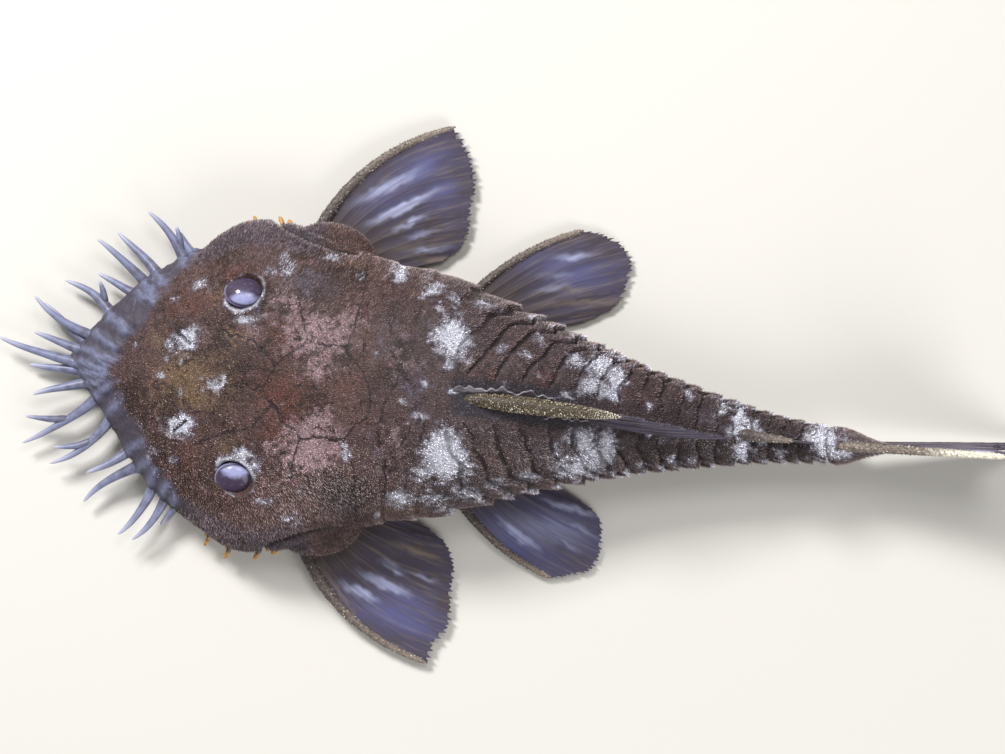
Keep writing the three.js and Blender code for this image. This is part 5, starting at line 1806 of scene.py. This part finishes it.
class BuildPairedFins(bpy.types.Operator):
    """The breast and belly fins, spread flat on both sides, each behind a stout prickly spine."""

    bl_idname = "bristlenose.paired_fins"
    bl_label = "Paired fins"

    def execute(self, context):
        for label, side in SIDES.items():
            self.fin(
                "pectoral_fin", label, side, s=34, out=17, z=3.4, angles=(51, 5), rays=8,
                reach=lambda u: 25.6 - 8.4 * u**1.3, spine=1.2, rooted=3, bow=3.6, tips=(1.3, 1.2),
            )
            share = 1.0 if side > 0 else 0.95
            self.fin(
                "pelvic_fin", label, side, s=53, out=9.8, z=2.2, rays=7,
                angles=(42, 5) if side > 0 else (47, 10),
                reach=lambda u: share * (20.8 + 16 * u * (1 - u) - 2.4 * u**3),
                spine=0.85, rooted=2, bow=1.8, tips=(0.95, 0.8),
            )
        return {"FINISHED"}

    def fin(self, name, label, side, s, out, z, angles, rays, reach, spine, rooted, bow, tips):
        x = s - ORIGIN_S
        middle = float(midline_at(s))

        def root(u):
            return np.array([x + mix(-rooted, rooted, u), middle + side * (out + 1 - 3 * u), z - 0.8 * u])

        def tip(u):
            heading = math.radians(mix(*angles, u))
            far = reach(u) * (1 - 0.1 * between(u, 0.8, 1) ** 2)
            return np.array(
                [x + far * math.cos(heading), middle + side * (out + far * math.sin(heading)), mix(*tips, u)]
            )

        def bowed_by(u):
            heading = math.radians(mix(*angles, u))
            return np.array([-math.sin(heading), side * math.cos(heading), 0]) * bow * (1 - u)

        sheet, faces, masks = fan_sheet(
            root, tip, bowed_by, (0, 0, 1), rays, web=0.3, thick=0.07, rows=80, ruffle=0.06, ragged=0.045,
            seed=6 if side > 0 else 8,
        )
        for key, streaks in (("pale", PALE_STREAKS), ("blue", BLUE_STREAKS), ("tan", TAN_STREAKS)):
            masks[key] = streaked(sheet, streaks)
        made = piece(f"{name}_web_{label}", sheet, faces, material_for("fin"), masks)
        settle(made, "fin", f"{name}_{label}")
        path = bowed(root(0), tip(0), bowed_by(0), 40)
        radii = rounded(mix(spine * 0.8, 0.38, np.linspace(0, 1, 40) ** 0.8), 0.06)
        stout = spine_piece(f"{name}_spine_{label}", path, radii, "fin_spine", flat=0.85)
        grained(stout, f"{name}_prickles_{label}", 31)


def upright(s, z, aside=0.0):
    return np.array([s - ORIGIN_S, float(midline_at(s)) + aside, z])


def still(u):
    return np.zeros(3)


class BuildBackFin(bpy.types.Operator):
    """The folded back fin: a stout gilded spine, frayed skin at its sides and rays trailing behind."""

    bl_idname = "bristlenose.back_fin"
    bl_label = "Back fin"

    def execute(self, context):
        def root(u):
            s = mix(53.4, 68.5, u)
            return upright(s, float(back_at(s)) - 0.9)

        def tip(u):
            return upright(mix(74, 89.5, u), mix(20.0, 15.0, u), mix(0.2, -0.7, u))

        def leaned(u):
            return np.array([0, mix(0.2, -1.3, u), mix(0.2, 0.0, u)])

        upright_fin(
            "back_fin_web", "folded_fin", ["dorsal_fin"], root, tip, leaned, rays=10, web=0.3, thick=0.16,
            rows=90, flesh=0.3, folded=0.3, seed=2,
        )
        start = upright(52.6, float(back_at(52.6)) - 0.9)
        path = bowed(start, upright(74.3, 20.6), (0, 0, 0.6), 60)
        wide = [0.6, 1.0, 1.2, 1.15, 1.02, 0.8, 0.25]
        radii = rounded(np.interp(np.linspace(0, 1, 60) * 6, range(7), wide) - 0.14, 0.03)
        spine = spine_piece("back_fin_spine", path, radii, "back_spine", sides=24, flat=0.9, knobs=0.04)
        gilding = {"lean": 0.5, "spacing": 0.17, "length": 0.19, "width": 1.0, "material": "gilded"}
        grained(spine, "back_fin_prickles", 41, **gilding)
        for side, label, start, end, spots in (
            (1, "right", 51.8, 65.0, [0.5, 1.1, 0.4, 0.9, 1.0, 0.3, 1.1, 0.7, 0.2]),
            (-1, "left", 58.5, 70.0, [0.2, 0.5, 0.1, 0.2, 0.8, 0.3, 0.6, 0.6, 0.2]),
        ):

            def low(u):
                s = mix(start, end, u)
                return upright(s, float(back_at(s)) - 0.4, side * 0.7)

            def high(u):
                s = mix(start, end, u) + 0.3
                wide = np.interp(u * 8, range(9), spots) * (1 + 0.5 * math.sin(43 * u) * math.sin(17 * u))
                return upright(s, float(back_at(s)) + 0.2 + 0.9 * wide, side * (0.85 + 0.8 * wide))

            upright_fin(
                "back_fin_frill_" + label, "frill", [], low, high, still, rays=9, web=0.14, thick=0.03,
                rows=12, per_ray=8, ruffle=0.05, flesh=0.1,
            )
        return {"FINISHED"}


class BuildTailFins(bpy.types.Operator):
    """The small spined fin of the tail, the fin under it and the half-folded tail fin."""

    bl_idname = "bristlenose.tail_fins"
    bl_label = "Tail fins"

    def execute(self, context):
        def small_root(u):
            s = mix(91.0, 98.5, u)
            return upright(s, float(back_at(s)) - 0.8)

        upright_fin(
            "small_fin_web", "fin", ["adipose_fin"],
            small_root,
            lambda u: upright(mix(97.4, 100.5, u), mix(15.6, 13.8, u)),
            still, rays=4, web=0.24, thick=0.04, rows=30, ruffle=0.05, flesh=0.2, seed=5,
        )
        path = bowed(upright(90.5, float(back_at(90.5)) - 0.6), upright(97.4, 15.7), (0, 0, 0.4), 30)
        radii = rounded(np.interp(np.linspace(0, 4, 30), range(5), [0.75, 0.7, 0.6, 0.45, 0.22]), 0.06)
        spine = spine_piece("small_fin_spine", path, radii, "fin_spine", sides=14)
        grained(spine, "small_fin_prickles", 43)

        upright_fin(
            "under_fin", "fin", ["anal_fin"],
            lambda u: upright(mix(74, 80, u), float(under_at(mix(74, 80, u))) + 0.8),
            lambda u: upright(mix(85.5, 89.5, u), mix(0.5, 1.9, u)),
            still, rays=6, web=0.24, thick=0.14, rows=50, ruffle=0.12, flesh=0.25, seed=9,
        )

        def tail_tip(u):
            s = mix(128.5, 133, u) - 5.6 * 4 * u * (1 - u)
            return upright(s, mix(21, 0.9, u), 1.6 * u)

        sheet, faces, masks = fan_sheet(
            lambda u: upright(BODY_LENGTH - 0.6, mix(12.2, 4.2, u)),
            tail_tip, still, (0, 1, 0), rays=15, web=0.3, thick=0.18, rows=90, per_ray=10, ruffle=0.25,
            flesh=0.35, seed=12,
        )
        flecks = np.exp(-(((masks["along"] - 0.8) / 0.05) ** 2))
        masks["pale"] = 1.6 * flecks * (1 - between(masks["across"], 0.14, 0.34))
        settle(piece("tail_fin_web", sheet, faces, material_for("folded_fin"), masks), "fin", "caudal_fin")
        for name, start, end, thick, bone in (
            ("upper", upright(BODY_LENGTH - 1, 12.0), tail_tip(0), 0.72, "tail_spine"),
            ("lower", upright(BODY_LENGTH - 1, 4.4), tail_tip(1), 0.42, "low_spine"),
        ):
            path = bowed(start, mix(start, end, 0.88), (0, 0, 0), 50)
            radii = rounded(mix(thick, 0.34, np.linspace(0, 1, 50)), 0.05)
            spine = spine_piece(f"tail_fin_{name}_spine", path, radii, bone, sides=12)
            if name == "upper":
                grained(spine, "tail_fin_prickles", 47, spacing=0.22, material="tail_grain")
            else:
                settle(spine, "fin")
        return {"FINISHED"}


class BuildStage(bpy.types.Operator):
    """A pale paper floor, soft studio light and the camera above the fish."""

    bl_idname = "bristlenose.stage"
    bl_label = "Stage"

    def execute(self, context):
        mesh = bpy.data.meshes.new("paper_floor")
        corners = [(FLOOR_REACH * x, FLOOR_REACH * y, 0) for x, y in ((-1, -1), (1, -1), (1, 1), (-1, 1))]
        mesh.from_pydata(corners, [], [(0, 1, 2, 3)])
        mesh.materials.append(material_for("paper"))
        bring_in("paper_floor", mesh)

        world = bpy.data.worlds.new("studio_air")
        world.use_nodes = True
        air = world.node_tree.nodes["Background"].inputs
        air["Color"].default_value = (1, 1, 1, 1)
        air["Strength"].default_value = AIR_STRENGTH
        context.scene.world = world

        for name, (place, size, power) in LIGHTS.items():
            light = bpy.data.lights.new(name, "AREA")
            light.size = size
            light.energy = power
            lamp = bring_in(name, light)
            lamp.location = place
            lamp.rotation_euler = (Vector(LIT_SPOT) - Vector(place)).to_track_quat("-Z", "Y").to_euler()

        camera = bpy.data.cameras.new("camera")
        for key, value in CAMERA.items():
            setattr(camera, key, value)
        eye = bring_in("camera", camera)
        eye.matrix_world = Matrix.Translation(CAMERA_PLACE) @ Matrix.Rotation(CAMERA_ROLL, 4, "Z")
        context.scene.camera = eye
        context.scene.view_settings.view_transform = "Standard"
        return {"FINISHED"}


OPERATORS = (
    BuildStage,
    BuildSkin,
    BuildPrickles,
    BuildTentacles,
    BuildCheekHooks,
    BuildEyes,
    BuildNostrilFlaps,
    BuildMouth,
    BuildPairedFins,
    BuildBackFin,
    BuildTailFins,
)


class BristlenosePanel(bpy.types.Panel):
    """Lists the sizes, the colours and the building steps."""

    bl_idname = "VIEW3D_PT_bristlenose"
    bl_label = "Bristlenose catfish"
    bl_space_type = "VIEW_3D"
    bl_region_type = "UI"
    bl_category = "Bristlenose"

    def draw(self, context):
        for settings in (context.scene.bristlenose_sizes, context.scene.bristlenose_colours):
            box = self.layout.box()
            for key in settings.__annotations__:
                box.prop(settings, key)
        for step in OPERATORS:
            self.layout.operator(step.bl_idname)


CLASSES = (BristlenoseSizes, BristlenoseColours, *OPERATORS, BristlenosePanel)


def register():
    for one in CLASSES:
        bpy.utils.register_class(one)
    bpy.types.Scene.bristlenose_sizes = bpy.props.PointerProperty(type=BristlenoseSizes)
    bpy.types.Scene.bristlenose_colours = bpy.props.PointerProperty(type=BristlenoseColours)


def unregister():
    del bpy.types.Scene.bristlenose_colours
    del bpy.types.Scene.bristlenose_sizes
    for one in reversed(CLASSES):
        bpy.utils.unregister_class(one)


def main():
    register()
    for step in OPERATORS:
        getattr(bpy.ops.bristlenose, step.bl_idname.split(".")[1])()


if __name__ == "__main__":
    main()
